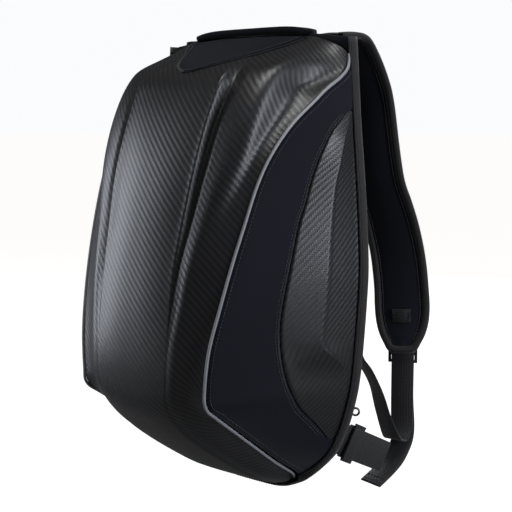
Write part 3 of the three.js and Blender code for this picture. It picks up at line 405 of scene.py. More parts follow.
def read(rows, at, key, column):
    """Reads a column of a table at a value of its key, on a smooth curve through the rows."""
    keys = np.array([row[key] for row in rows], float)
    values = np.array([row[column] for row in rows], float)
    if keys[0] > keys[-1]:
        keys, values = keys[::-1], values[::-1]
    last = len(keys) - 1
    slopes = np.array([
        (values[min(k + 1, last)] - values[max(k - 1, 0)]) / (keys[min(k + 1, last)] - keys[max(k - 1, 0)])
        for k in range(last + 1)
    ])
    x = np.clip(at, keys[0], keys[-1])
    i = np.clip(np.searchsorted(keys, x) - 1, 0, last - 1)
    step = keys[i + 1] - keys[i]
    t = (x - keys[i]) / step
    h = t * t * (3 - 2 * t)
    straight = values[i] + (values[i + 1] - values[i]) * h
    return straight + step * (t * (1 - t) ** 2 * slopes[i] - t * t * (1 - t) * slopes[i + 1])


print("sides", [name for name, _ in SIDES])

# %% [markdown]
# ## From points to a piece
# Each mesh is made straight from its points and faces, in the bag's own millimetres, and moved
# to the frame's metres at once. Its texture map holds real lengths, so that a weave keeps its
# scale on every piece. Each piece rides on the bag and hides any solids of the frame that it stands for.

# %% Pieces
def grid_normals(grid, inside):
    """Unit normals of a grid that point away from a place inside the bag."""
    down = np.gradient(grid, axis=0)
    right = np.gradient(grid, axis=1)
    normals = np.cross(down, right)
    normals /= np.maximum(np.linalg.norm(normals, axis=2, keepdims=True), 1e-9)
    flip = np.sum(normals * (grid - inside), axis=2, keepdims=True) < 0
    return np.where(flip, -normals, normals)


def in_metres(points):
    moved = np.asarray(points, float).reshape(-1, 3).copy()
    moved[:, 1] -= PAD_RISE
    return moved * MM


def add_piece(name, vertices, faces, material, uvs=None, replaces=()):
    """Makes a mesh piece that rides on the bag, from points in millimetres."""
    mesh = bpy.data.meshes.new(name)
    mesh.from_pydata(in_metres(vertices).tolist(), [], [list(f) for f in faces])
    if uvs is not None:
        layer = mesh.uv_layers.new(name="lengths")
        corner_vertices = np.empty(len(mesh.loops), int)
        mesh.loops.foreach_get("vertex_index", corner_vertices)
        layer.data.foreach_set("uv", (np.asarray(uvs)[corner_vertices] * MM).ravel())
    mesh.materials.append(material)
    piece = bpy.data.objects.new(name, mesh)
    bpy.context.collection.objects.link(piece)
    tidy = bmesh.new()
    tidy.from_mesh(mesh)
    bmesh.ops.recalc_face_normals(tidy, faces=tidy.faces)
    tidy.to_mesh(mesh)
    tidy.free()
    mesh.shade_smooth()
    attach(piece, "root")
    if replaces:
        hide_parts(*replaces)
    return piece


# %% [markdown]
# ## Walls from grids
# Shell, gussets, wings, patch and tape are sheets with a thickness. Each is a closed wall
# between an outer and an inner grid of the same size, joined by a border. A Solidify modifier
# would do this too, but here the two faces can have different forms.

# %% Walls
def lengths_of(grid):
    """Texture places of a grid: length along each row, and length down its middle column."""
    across = np.zeros(grid.shape[:2])
    across[:, 1:] = np.cumsum(np.linalg.norm(np.diff(grid, axis=1), axis=2), axis=1)
    middle = grid.shape[1] // 2
    across -= across[:, middle : middle + 1]
    down = np.zeros(grid.shape[:2])
    steps = np.linalg.norm(np.diff(grid[:, middle], axis=0), axis=1)
    down[1:] = -np.cumsum(steps)[:, None]
    return np.stack([across, down], axis=2)


def wall_piece(name, outer, inner, material, replaces=()):
    """A closed wall between two grids of the same size."""
    rows, cols = outer.shape[:2]
    half = rows * cols
    index = np.arange(half).reshape(rows, cols)
    a, b = index[:-1, :-1], index[:-1, 1:]
    c, d = index[1:, 1:], index[1:, :-1]
    front = np.stack([a, b, c, d], axis=2).reshape(-1, 4)
    back = front[:, ::-1] + half
    rim = np.concatenate([index[0, :-1], index[:-1, -1], index[-1, :0:-1], index[:0:-1, 0]])
    after = np.roll(rim, -1)
    border = np.stack([after, rim, rim + half, after + half], axis=1)
    faces = np.concatenate([front, back, border])
    uvs = np.concatenate([lengths_of(outer).reshape(-1, 2)] * 2)
    vertices = np.concatenate([outer.reshape(-1, 3), inner.reshape(-1, 3)])
    return add_piece(name, vertices, faces, material, uvs, replaces)


def mirrored(grid, side):
    return grid * np.array([side, 1, 1])


print("walls ready")

# %% [markdown]
# ## Solids through rings
# Straps, webbing, cords and pads are drawn as rings of points, one after another along a path.
# Their texture runs with the path's own length, so ribs and tows stay square to it.

# %% Solids through rings
def unit_rows(vectors):
    """Each row of the array as a direction of length one."""
    return vectors / np.linalg.norm(vectors, axis=1, keepdims=True)


def ring_piece(name, rings, material, replaces=(), closed=False):
    """A solid through rings of points, capped at its ends unless it closes on itself."""
    rings = np.asarray(rings, float)
    count, sides = rings.shape[:2]
    index = np.arange(count * sides).reshape(count, sides)
    turns = count if closed else count - 1
    faces = []
    for i in range(turns):
        lower, upper = index[i], index[(i + 1) % count]
        for j in range(sides):
            k = (j + 1) % sides
            faces.append((lower[j], lower[k], upper[k], upper[j]))
    if not closed:
        faces.append(tuple(index[0][::-1]))
        faces.append(tuple(index[-1]))
    around = np.zeros((count, sides))
    around[:, 1:] = np.cumsum(np.linalg.norm(np.diff(rings, axis=1), axis=2), axis=1)
    middle = rings.mean(axis=1)
    along = np.concatenate([[0], np.cumsum(np.linalg.norm(np.diff(middle, axis=0), axis=1))])
    uvs = np.stack([around, np.repeat(along[:, None], sides, axis=1)], axis=2).reshape(-1, 2)
    return add_piece(name, rings.reshape(-1, 3), faces, material, uvs, replaces)


print("ring solids close or are capped")

# %% [markdown]
# ## Bands and tubes
# A band keeps its width in a given direction as it turns, so webbing lies flat where it is
# told to. A tube only has a radius, and its frame is carried along the path without twist.

# %% Bands and tubes
def frames_along(points, widths):
    """Width and face directions, square to the path, at each of its points."""
    points, widths = np.asarray(points, float), np.asarray(widths, float)
    along = unit_rows(np.gradient(points, axis=0))
    across = widths - along * np.sum(widths * along, axis=1, keepdims=True)
    across = unit_rows(across)
    return across, np.cross(across, along)


def band_piece(name, points, widths, section, material, replaces=()):
    """Sweeps a flat section of (across, outward) pairs along a path."""
    across, normal = frames_along(points, widths)
    rings = [
        [p + a * s[0] + n * s[1] for s in section(i)]
        for i, (p, a, n) in enumerate(zip(np.asarray(points, float), across, normal))
    ]
    return ring_piece(name, rings, material, replaces)


def tube_piece(name, points, radius, material, sides=8, replaces=()):
    points = np.asarray(points, float)
    along = unit_rows(np.gradient(points, axis=0))
    side = np.cross(along[0], [0.3, 0.2, 0.9])
    rings = []
    for p, t in zip(points, along):
        side = side - t * np.dot(side, t)
        side /= np.linalg.norm(side)
        other = np.cross(t, side)
        angles = np.arange(sides) * 2 * math.pi / sides
        rings.append([p + radius * (math.cos(a) * side + math.sin(a) * other) for a in angles])
    return ring_piece(name, rings, material, replaces)


def flat_section(width, thickness, sides=12):
    """Outline of a flat band with round edges."""
    corner = thickness / 2
    flat = width / 2 - corner
    angles = (np.arange(sides) + 0.5) * 2 * math.pi / sides
    return [(np.sign(math.cos(a)) * flat + corner * math.cos(a), corner * math.sin(a)) for a in angles]


print("band section", len(flat_section(25, 1.6)), "points")

# %% [markdown]
# ## Stitches
# A stitch is a short rod of thread, thinner at its ends, where it goes into the fabric. They
# are real meshes at an even spacing, because a bump would have no outline against the light.
# All the stitches of one seam are joined in one piece.

# %% Stitches
def even_line(points, step):
    """The same line with points at an even spacing."""
    points = np.asarray(points, float)
    run = np.concatenate([[0], np.cumsum(np.linalg.norm(np.diff(points, axis=0), axis=1))])
    places = np.arange(0, run[-1], step)
    return np.stack([np.interp(places, run, points[:, k]) for k in range(3)], axis=1)


STITCH = 3.6  # from one stitch to the next
STITCH_SHARE = 0.72  # share of it that the thread shows
STITCH_RADIUS = 0.42


def stitches(name, lines, material):
    """Short rods of thread along each line, as one piece."""
    vertices, faces = [], []
    for line in lines:
        even = even_line(line, STITCH)
        for a, b in zip(even[:-1], even[1:]):
            along = (b - a) / np.linalg.norm(b - a)
            side = np.cross(along, [0.31, 0.22, 0.9])
            side /= np.linalg.norm(side)
            other = np.cross(along, side)
            start = len(vertices)
            for t, r in ((0, 0.5), (0.2, 1.0), (0.8, 1.0), (1.0, 0.5)):
                middle = a + (b - a) * t * STITCH_SHARE
                for k in range(5):
                    angle = k * 2 * math.pi / 5
                    turned = math.cos(angle) * side + math.sin(angle) * other
                    vertices.append(middle + turned * r * STITCH_RADIUS)
            for ring in range(3):
                for k in range(5):
                    n = (k + 1) % 5
                    low, high = start + ring * 5, start + ring * 5 + 5
                    faces.append((low + k, low + n, high + n, high + k))
            faces.append(tuple(start + k for k in (4, 3, 2, 1, 0)))
            faces.append(tuple(start + 15 + k for k in range(5)))
    return add_piece(name, np.array(vertices), faces, material)


print("stitches", STITCH, "mm apart")

# %% [markdown]
# ## The shell's sizes
# The seam lies a little inside the back edge, so it follows when the bag gets wider. The core
# is a point inside the bag, which tells the outer face of a wall from its inner one.

# %% Shell sizes
HALF_HEIGHT = 250
BACK_HALF_WIDTH = 145.5
SEAM_SETBACK = 11.5
SEAM_HALF_WIDTH = BACK_HALF_WIDTH - SEAM_SETBACK
PANEL_HALF_WIDTH = 57
SHELL_DEPTH = 190
SHELL_WALL = 2.6
GROOVE_WIDTH = 24
GROOVE_DEPTH = 9
GAP = 0.35
CORE = np.array([0, -SHELL_DEPTH * 0.3, 0])
print("seam half width", SEAM_HALF_WIDTH)

# %% [markdown]
# ## The shell's table
# The shell is one moulding, so it is drawn as a set of half sections from the middle line to
# the piped seam. Each row gives a few stations that can be found in the photograph: the edge
# of the raised middle panel, the groove beside it, the shoulder of the lobe, the crease, and
# the seam. Heights are shares of the half height and depths are shares of the shell's depth.

# %% Shell table
PANEL_ROWS = [
    # centre (height, depth), panel (width, height, depth), groove (width, depth)
    ((0.976, 0.074), (0.67, 0.976, 0.074), (0.9, 0)),
    ((0.9, 0.326), (0.8, 0.896, 0.316), (0.95, 0)),
    ((0.834, 0.54), (0.93, 0.834, 0.526), (0.98, 0.45)),
    ((0.788, 0.632), (1, 0.788, 0.616), (1, 0.9)),
    ((0.72, 0.69), (1, 0.72, 0.666), (0.88, 1)),
    ((0.62, 0.753), (0.99, 0.62, 0.724), (0.7, 0.95)),
    ((0.5, 0.816), (0.98, 0.5, 0.784), (0.66, 0.8)),
    ((0.38, 0.868), (0.965, 0.38, 0.832), (0.6, 0.62)),
    ((0.24, 0.913), (0.921, 0.24, 0.876), (0.54, 0.44)),
    ((0.08, 0.953), (0.877, 0.08, 0.924), (0.46, 0.25)),
    ((-0.08, 0.984), (0.868, -0.08, 0.958), (0.36, 0.08)),
    ((-0.24, 1), (0.86, -0.24, 0.982), (0.12, 0)),
    ((-0.38, 1), (0.825, -0.38, 0.988), (0.12, 0)),
    ((-0.5, 0.972), (0.75, -0.488, 0.96), (0.14, 0)),
    ((-0.6, 0.847), (0.72, -0.596, 0.842), (0.24, 0)),
    ((-0.688, 0.7), (0.74, -0.684, 0.695), (0.24, 0)),
    ((-0.784, 0.51), (0.74, -0.78, 0.505), (0.24, 0)),
    ((-0.88, 0.295), (0.7, -0.878, 0.29), (0.24, 0)),
    ((-0.938, 0.1), (0.66, -0.934, 0.1), (0.24, 0)),
    ((-0.95, 0.04), (0.63, -0.944, 0.04), (0.24, 0)),
]
LOBE_ROWS = [
    # shoulder, crease and seam, each (width, height, depth)
    ((0.66, 0.966, 0.068), (0.866, 0.932, 0.058), (0.958, 0.89, 0.04)),
    ((0.74, 0.894, 0.263), (0.9, 0.854, 0.11), (0.97, 0.836, 0.062)),
    ((0.77, 0.846, 0.4), (0.85, 0.797, 0.21), (0.98, 0.794, 0.134)),
    ((0.776, 0.8, 0.472), (0.821, 0.764, 0.284), (0.966, 0.75, 0.229)),
    ((0.772, 0.724, 0.553), (0.821, 0.712, 0.389), (0.952, 0.7, 0.318)),
    ((0.769, 0.616, 0.626), (0.797, 0.604, 0.511), (0.91, 0.608, 0.463)),
    ((0.75, 0.496, 0.69), (0.772, 0.496, 0.626), (0.866, 0.496, 0.579)),
    ((0.694, 0.38, 0.753), (0.731, 0.38, 0.7), (0.832, 0.38, 0.658)),
    ((0.627, 0.24, 0.816), (0.676, 0.24, 0.787), (0.806, 0.24, 0.726)),
    ((0.56, 0.08, 0.887), (0.642, 0.08, 0.853), (0.769, 0.08, 0.795)),
    ((0.515, -0.08, 0.932), (0.612, -0.08, 0.892), (0.731, -0.08, 0.853)),
    ((0.48, -0.24, 0.963), (0.588, -0.24, 0.921), (0.687, -0.24, 0.9)),
    ((0.45, -0.38, 0.971), (0.545, -0.372, 0.937), (0.66, -0.392, 0.913)),
    ((0.433, -0.472, 0.937), (0.53, -0.448, 0.918), (0.657, -0.464, 0.9)),
    ((0.463, -0.576, 0.816), (0.56, -0.548, 0.805), (0.638, -0.516, 0.811)),
    ((0.463, -0.664, 0.668), (0.53, -0.632, 0.653), (0.598, -0.599, 0.645)),
    ((0.44, -0.76, 0.484), (0.5, -0.728, 0.468), (0.551, -0.695, 0.453)),
    ((0.418, -0.856, 0.274), (0.463, -0.832, 0.263), (0.502, -0.794, 0.253)),
    ((0.388, -0.918, 0.09), (0.425, -0.904, 0.084), (0.455, -0.872, 0.078)),
    ((0.358, -0.93, 0.04), (0.396, -0.92, 0.04), (0.43, -0.905, 0.034)),
]
SHELL_ROWS = [(*panel, *lobe) for panel, lobe in zip(PANEL_ROWS, LOBE_ROWS)]
print("table rows", len(SHELL_ROWS))

# %% [markdown]
# ## Rails down the shell
# Each station of the table becomes one rail from top to bottom. The sizes enter here, so the
# table itself stays free of millimetres.

# %% Shell rails
def rail(column, width):
    """One station of every row as points in millimetres."""
    places = [row[column] if len(row[column]) == 3 else (0, *row[column]) for row in SHELL_ROWS]
    return np.array([(w * width, -d * SHELL_DEPTH, h * HALF_HEIGHT) for w, h, d in places])


centre_rail, panel_rail = rail(0, 0), rail(1, PANEL_HALF_WIDTH)
shoulder_rail, crease_rail, seam_rail = (rail(k, SEAM_HALF_WIDTH) for k in (3, 4, 5))
groove_rail = np.array([(row[2][0] * GROOVE_WIDTH, row[2][1] * GROOVE_DEPTH) for row in SHELL_ROWS])
print("seam rail from", seam_rail[0].round(), "to", seam_rail[-1].round())

# %% [markdown]
# ## Even and soft lines
# One tool lays a line out at even steps. The other softens a line or a grid, and keeps its
# ends, because the seams lie there.

# %% Even and soft lines
def evenly(points, count):
    """The given line with count points at equal steps."""
    run = np.concatenate([[0], np.cumsum(np.linalg.norm(np.diff(points, axis=0), axis=1))])
    places = np.linspace(0, run[-1], count)
    return np.stack([np.interp(places, run, points[:, k]) for k in range(3)], axis=1)


def softened(grid, times, axis=0):
    """Moves each inner point of a line or grid half way to the mean of its two neighbours."""
    grid = np.moveaxis(grid.copy(), axis, 0)
    for _ in range(times):
        grid[1:-1] = 0.5 * grid[1:-1] + 0.25 * (grid[:-2] + grid[2:])
    return np.moveaxis(grid, 0, axis)


print("softened", softened(np.array([0.0, 1.0, 0.0]), 1))

# %% [markdown]
# ## One section of the shell
# Between the stations the section is a soft curve on the panel and on the lobe. The groove
# between them is lopsided: a thin bead stands along the panel's edge, the wall drops from it,
# and the floor climbs slowly to the outer lip. The lobe is resampled at even steps and
# softened, because a thermoformed sheet has no breaks there.

# %% Shell section
ROW_STEPS = 9
PIPING_RADIUS = 1.6
LOBE_CROWN = 3.5
BEAD_RISE = 0.9  # bead along the panel's edge
BEAD_WIDTH = 2.6
GROOVE_STEEP = 0.4
GROOVE_FADE = 1.15  # how the groove's floor climbs to its outer lip
PANEL_SHARES = [*np.linspace(0, 0.9, 13), 0.925, 0.95, 0.97, 0.985]
PANEL_FALL = 2.4  # how late the panel falls off towards its edge
FRONT_SHARE = 0.55  # place of the lobe's crown between groove and shoulder
LOBE_POINTS = 46
LOBE_SOFTENING = 16
ROW_SOFTENING = 4


def groove_depth(t):
    """Share of the groove's depth at the place t across it."""
    if t < GROOVE_STEEP:
        wall = t / GROOVE_STEEP
        return wall * wall * (3 - 2 * wall)
    return (1 - (t - GROOVE_STEEP) / (1 - GROOVE_STEEP)) ** GROOVE_FADE


def bead_height(off, depth):
    """The bead stands highest on the panel's edge, and fades out with the groove."""
    return BEAD_RISE * min(depth / GROOVE_DEPTH * 2, 1) * math.exp(-((off / BEAD_WIDTH) ** 2))


def half_section(centre, edge, groove, shoulder, crease, seam):
    """Points from the middle to the seam, and how deep the groove is at each."""
    points, depths = [], []
    width, depth = groove
    for t in PANEL_SHARES:
        p = centre + (edge - centre) * np.array([t, t**PANEL_FALL, t**PANEL_FALL])
        points.append(p)
        depths.append(-bead_height(np.linalg.norm(edge - p), depth))
    direction = (shoulder - edge) / np.linalg.norm(shoulder - edge)
    for t in np.linspace(0, 1, 21)[:-1]:
        points.append(edge + direction * width * t)
        depths.append(depth * groove_depth(t) - bead_height(width * t, depth))
    start = edge + direction * width
    front = start + (shoulder - start) * FRONT_SHARE
    fullness = np.clip(depth / GROOVE_DEPTH + 0.35, 0, 1)
    front[1] -= LOBE_CROWN * fullness
    reach = np.linalg.norm(seam - crease)
    last = seam - (seam - crease) / reach * (PIPING_RADIUS + GAP)
    lobe = evenly(curve_through([start, front, shoulder, crease, last], 8), LOBE_POINTS)
    lobe = softened(lobe, LOBE_SOFTENING)
    points.extend(lobe)
    depths.extend([0] * len(lobe))
    return np.array(points), np.array(depths)


print("points on a lobe", LOBE_POINTS)

# %% [markdown]
# ## The shell's surface
# The sections are mirrored and stacked into one grid. The groove is cut along the normals of a
# softened copy, so that its sides stay even where the shell bends. Subdividing a coarse cage
# would be quicker, but it would melt the groove's lip.

# %% Shell surface
def rounded(grid, times):
    """Softens breaks across the grid and along it, with the border kept."""
    for _ in range(times):
        grid = softened(softened(grid, 1, axis=1), 1)
    return grid


def shell_surface():
    stations = (centre_rail, panel_rail, shoulder_rail, crease_rail, seam_rail)
    rails = [curve_through(station, ROW_STEPS) for station in stations]
    grooves = np.maximum(curve_through(groove_rail, ROW_STEPS), 0)
    lines, sunk = [], []
    for centre, edge, shoulder, crease, seam, groove in zip(*rails, grooves):
        points, depths = half_section(centre, edge, groove, shoulder, crease, seam)
        mirror = points[:0:-1] * [-1, 1, 1]
        lines.append(np.concatenate([mirror, points]))
        sunk.append(np.concatenate([depths[:0:-1], depths]))
    plain = softened(np.array(lines), ROW_SOFTENING)
    normals = grid_normals(rounded(plain, 2), CORE)
    carved = plain - normals * np.array(sunk)[:, :, None]
    return plain, normals, rounded(carved, 1)


shell_plain, shell_normals, shell_skin = shell_surface()
shell_inner = shell_skin - grid_normals(shell_skin, CORE) * SHELL_WALL
wall_piece("shell_skin", shell_skin, shell_inner, CARBON, ["front_shell"])
print("shell points", shell_skin.shape[:2])

# %% [markdown]
# ## Top patch
# A tongue of the dark stretch fabric lies over the top of the shell, wide where it meets the
# handle and rounded at its front tip. It is laid out by rows of the shell, so that it follows
# the shell's curve, and its rim is turned down to look let in. A dark cord closes the seam
# round it, with one line of stitches inside. It stays bare.

# %% Top patch
PATCH_HALF_WIDTH = 84
PATCH_WALL = 1.6
PATCH_LIFT = 0.6  # from the shell to the patch's underside
PATCH_RIM = 0.06  # share of its half width that turns down
PATCH_COLUMNS = 41
PATCH_CORD = 1.0
TIP_LENGTH = 0.28  # of the rounded tip, in rows
PATCH_ROWS = table("row width", [
    (0.35, 1.0), (1.0, 0.9), (1.8, 0.72), (2.6, 0.54), (3.3, 0.38), (3.9, 0.24), (4.3, 0.12),
])


def on_shell(row, x, lift):
    """A point over the shell's plain surface, by table row and by distance from the middle."""
    # The solid's rows are half a table row apart, and this surface has ROW_STEPS for each.
    place = np.clip(row / 2 * ROW_STEPS, 0, len(shell_plain) - 1.001)
    i, t = int(place), place - int(place)
    line = shell_plain[i] * (1 - t) + shell_plain[i + 1] * t
    normal = shell_normals[i] * (1 - t) + shell_normals[i + 1] * t
    point = np.array([np.interp(x, line[:, 0], line[:, k]) for k in range(3)])
    facing = np.array([np.interp(x, line[:, 0], normal[:, k]) for k in range(3)])
    return point + facing / np.linalg.norm(facing) * lift


def patch_grid(lift, rim_lift):
    rows = []
    widths = curve_through([(r["row"], r["width"]) for r in PATCH_ROWS], 6)
    tip = widths[-1]
    turns = np.linspace(0, 1.5, 6)[1:]
    round_tip = [(tip[0] + TIP_LENGTH * math.sin(a), tip[1] * math.cos(a)) for a in turns]
    for row, width in [*widths, *round_tip]:
        shares = np.linspace(-1, 1, PATCH_COLUMNS)
        rim = np.clip((1 - np.abs(shares)) / PATCH_RIM, 0, 1) ** 0.5
        rows.append([
            on_shell(row, s * width * PATCH_HALF_WIDTH, rim_lift + (lift - rim_lift) * r)
            for s, r in zip(shares, rim)
        ])
    return np.array(rows)


patch_top = patch_grid(PATCH_LIFT + PATCH_WALL, 0.5)
wall_piece("patch_fabric", patch_top, patch_grid(0.1, 0.05), PATCH_FABRIC, ["top_patch"])
border = np.concatenate([patch_top[:, 0], patch_top[-1, 1:-1], patch_top[::-1, -1]])
inset = np.concatenate([patch_top[:, 2], patch_top[-2, 3:-3], patch_top[::-1, -3]])
tube_piece("patch_seam", curve_through(border[::3], 3), PATCH_CORD, THREAD, 8)
stitches("patch_stitches", [inset], THREAD_PALE)
print("patch rows", len(PATCH_ROWS))

# %% [markdown]
# ## Side surface
# Between the piping and the back edge the bag's side is ruled: straight from seam to edge,
# with a slight bulge. The gusset and the moulded wing both lie on it, so both read their
# points from one function of height and depth.

# %% Side surface
GUSSET_WALL = 2.2
GUSSET_BULGE = 3
WING_WALL = 2.4
WING_RIDGE = 8
SIDE_START = 2.5
BINDING_COVER = 8.5
BACK_ROWS = table("height width", [
    (0.96, 0.88), (0.8, 0.9), (0.6, 0.926), (0.4, 0.96), (0.2, 0.986), (0.03, 1),
    (-0.13, 0.986), (-0.29, 0.963), (-0.4, 0.943), (-0.5, 0.912), (-0.62, 0.851), (-0.71, 0.784),
    (-0.767, 0.723), (-0.834, 0.608), (-0.892, 0.486), (-0.923, 0.392), (-0.952, 0.243),
])
seam_line = curve_through(seam_rail, 4)
SEAM_ROWS = [{"z": p[2], "x": p[0], "depth": -p[1]} for p in seam_line]
SIDE_TOP, SIDE_BOTTOM = SEAM_ROWS[0]["z"], SEAM_ROWS[-1]["z"]


def back_half_width(z):
    return read(BACK_ROWS, z / HALF_HEIGHT, "height", "width") * BACK_HALF_WIDTH


def seam_depth(z):
    return read(SEAM_ROWS, z, "z", "depth")


def side_point(z, depth, lift=0.0):
    seam_x, far = read(SEAM_ROWS, z, "z", "x"), seam_depth(z)
    back_x = back_half_width(z)
    share = min(depth / far, 1)
    fullness = min(far / (SHELL_DEPTH * 0.4), 1)
    bulge = 4 * share * (1 - share) * GUSSET_BULGE * fullness
    along = np.array([seam_x - back_x, -far, 0.0])
    along /= np.linalg.norm(along)
    out = np.array([-along[1], along[0], 0])
    return np.array([back_x + (seam_x - back_x) * share, -depth, z]) + out * (bulge + lift)


def clearance(depth_at, z, distance):
    slope = (depth_at(z + 2) - depth_at(z - 2)) / 4
    return distance * math.sqrt(1 + slope * slope)


print("side from", round(SIDE_TOP), "to", round(SIDE_BOTTOM))

# %% [markdown]
# ## The wing's place
# The wing runs along the back edge. Its seam and its ridge are given by height, both as
# shares of the shell's depth.

# %% Wing table
WING_ROWS = table("height seam ridge", [
    (0.665, 0.075, 0.06), (0.652, 0.089, 0.06), (0.616, 0.147, 0.075), (0.572, 0.205, 0.11),
    (0.516, 0.253, 0.145), (0.46, 0.295, 0.175), (0.388, 0.337, 0.21), (0.304, 0.374, 0.232),
    (0.224, 0.416, 0.245), (0.128, 0.447, 0.256), (0.032, 0.474, 0.264), (-0.072, 0.5, 0.27),
    (-0.176, 0.511, 0.276), (-0.25, 0.502, 0.278), (-0.3, 0.489, 0.21), (-0.368, 0.463, 0.085),
    (-0.44, 0.421, 0.06), (-0.512, 0.347, 0.06), (-0.596, 0.211, 0.06), (-0.66, 0.116, 0.06),
    (-0.69, 0.075, 0.06),
])
WING_TOP = WING_ROWS[0]["height"] * HALF_HEIGHT
WING_BOTTOM = WING_ROWS[-1]["height"] * HALF_HEIGHT


def wing_seam_depth(z):
    return read(WING_ROWS, z / HALF_HEIGHT, "height", "seam") * SHELL_DEPTH


print("wing from", round(WING_TOP), "to", round(WING_BOTTOM))

# %% [markdown]
# ## Gussets
# The gusset is stretch fabric over thin foam, wide below and narrow above. Its edges are
# pulled down into the piping and into the wing's seam, which gives it a soft crown.

# %% Gussets
GUSSET_ROWS = 130
GUSSET_LIFT = 0.6
GUSSET_SINK = 1.6  # how far its rims are pulled in
GUSSET_RIM = 0.08  # share of its width that a rim takes


def gusset_grid(lift, sink):
    rows = []
    for z in np.linspace(SIDE_TOP - 6, SIDE_BOTTOM + 0.5, GUSSET_ROWS):
        front = seam_depth(z) - clearance(seam_depth, z, PIPING_RADIUS + 0.3)
        beside = WING_BOTTOM - 1 < z < WING_TOP + 1
        back = wing_seam_depth(z) + clearance(wing_seam_depth, z, GAP) if beside else SIDE_START
        shares = np.linspace(0, 1, 21)
        rim = 1 - np.clip(np.minimum(shares, 1 - shares) / GUSSET_RIM, 0, 1)
        reach = max(front - back, 0.5)
        rows.append([side_point(z, back + reach * s, lift - sink * r**2) for s, r in zip(shares, rim)])
    return np.array(rows)


for name, side in SIDES:
    wall_piece(
        f"gusset_fabric_{name}",
        mirrored(gusset_grid(GUSSET_LIFT, GUSSET_SINK), side),
        mirrored(gusset_grid(-GUSSET_WALL, 0), side),
        NEOPRENE,
        [f"side_gusset_{name}"],
    )
print("gusset rows", GUSSET_ROWS)

# %% [markdown]
# ## Gusset stitches
# The gusset's seams are sewn with grey thread: one line beside the piping and a double line
# along the wing. The thread stands a little over the fabric, so it catches the light.

# %% Gusset stitches
STITCH_LINES = [
    # distance from the seam, lift over the side, beside the wing
    (3.2, 0.75, True),
    (5.6, 0.85, True),
    (5.4, 0.8, False),
]


def seam_stitch_line(inset, lift, beside_wing):
    if beside_wing:
        heights, depth_at, inward = np.linspace(WING_TOP - 4, WING_BOTTOM + 6, 150), wing_seam_depth, 1
    else:
        heights, depth_at, inward = np.linspace(SIDE_TOP - 16, SIDE_BOTTOM + 12, 200), seam_depth, -1
    depths = [depth_at(z) + inward * clearance(depth_at, z, inset) for z in heights]
    return np.array([side_point(z, depth, lift) for z, depth in zip(heights, depths)])


for name, side in SIDES:
    lines = [seam_stitch_line(*line) for line in STITCH_LINES]
    stitches(f"gusset_stitches_{name}", [mirrored(line, side) for line in lines], THREAD_PALE)
print("gusset seams sewn")

# %% [markdown]
# ## Rear wings
# The wings are moulded in the same woven look as the shell. A ridge runs down each, near its
# stitched seam, and turns back to the edge at the bottom: the wing is lit above it and dark
# below. The ridge is a straight fold, so the rise is linear on both sides of it.

# %% Rear wings
RIDGE_START = 0.06  # share of the shell's depth at which the ridge leaves the edge
RIDGE_GROWTH = 0.12  # and over which it reaches its full height


def wing_grid(lift):
    fine = curve_through([(r["height"], r["seam"], r["ridge"]) for r in WING_ROWS], 5)
    rows = []
    for height, seam, ridge in fine:
        full = min(max(ridge - RIDGE_START, 0) / RIDGE_GROWTH, 1)
        ridge_depth, seam_reach = ridge * SHELL_DEPTH, seam * SHELL_DEPTH - GAP
        line = []
        for place in np.linspace(0, 2, 29):
            if place < 1:
                depth = SIDE_START + (ridge_depth - SIDE_START) * place
                covered = BINDING_COVER / ridge_depth
            else:
                depth = ridge_depth + (seam_reach - ridge_depth) * (place - 1)
                covered = 0
            rise = WING_RIDGE * full * max(1 - abs(place - 1) - covered, 0)
            line.append(side_point(height * HALF_HEIGHT, depth, lift + rise))
        rows.append(line)
    return softened(np.array(rows), 3)


for name, side in SIDES:
    wall_piece(
        f"wing_skin_{name}",
        mirrored(wing_grid(0.2), side),
        mirrored(wing_grid(-WING_WALL), side),
        CARBON,
        [f"rear_wing_{name}"],
    )
print("wing ridge", WING_RIDGE, "mm")

# %% [markdown]
# ## Piping
# A cord wrapped in silver grey film is sewn into the seam between shell and gusset. It is a
# tube along the seam's own curve, and dips a little where it goes under the tape.

# %% Piping
PIPING_TUCK = 6.5  # depth at which the cord ends, under the tape
PIPING_LIFT = 0.6
TUCK_LENGTH = 7


def seam_path():
    kept = np.array([p for p in curve_through(seam_rail, 8) if -p[1] > PIPING_TUCK])
    out = kept * [1, 1, 0.5] - [0, CORE[1], 0]
    under = np.clip((PIPING_TUCK + TUCK_LENGTH + kept[:, 1:2]) / TUCK_LENGTH, 0, 1)
    return kept + out / np.linalg.norm(out, axis=1, keepdims=True) * (PIPING_LIFT - 0.5 * under)


for name, side in SIDES:
    tube_piece(
        f"piping_cord_{name}", mirrored(seam_path(), side), PIPING_RADIUS,
        PIPING, 12, [f"piping_{name}"],
    )
print("piping length", round(float(np.sum(np.linalg.norm(np.diff(seam_path(), axis=0), axis=1)))), "mm")

# %% [markdown]
# ## Back outline
# The bag's edge is one closed outline: straight across the top, and round the sides and the
# bottom. The back pad, its rim, the tape and the top band all read their points from it.

# %% Back outline
EDGE_START = 0.6
FLANGE_WALL = 1.8
PAD_SLOPE_WIDTH = 20
BINDING_REAR = 8
BINDING_WALL = 1.2
PANEL_INSET = 1.2
TOP_ROWS = [(0.92, 0.966), (0.75, 0.975), (0.5, 0.98), (0.25, 0.98), (0, 0.979)]


def outline_half(count):
    rows = [(r["width"] * BACK_HALF_WIDTH, 0, r["height"] * HALF_HEIGHT) for r in BACK_ROWS]
    bottom = (0, 0, BACK_ROWS[-1]["height"] * HALF_HEIGHT - 1)
    return curve_through([*rows, bottom], count)


def corner_half_width():
    return BACK_ROWS[0]["width"] * BACK_HALF_WIDTH


def top_half(count):
    corner = corner_half_width()
    return curve_through([(a * corner, 0, h * HALF_HEIGHT) for a, h in TOP_ROWS], count)


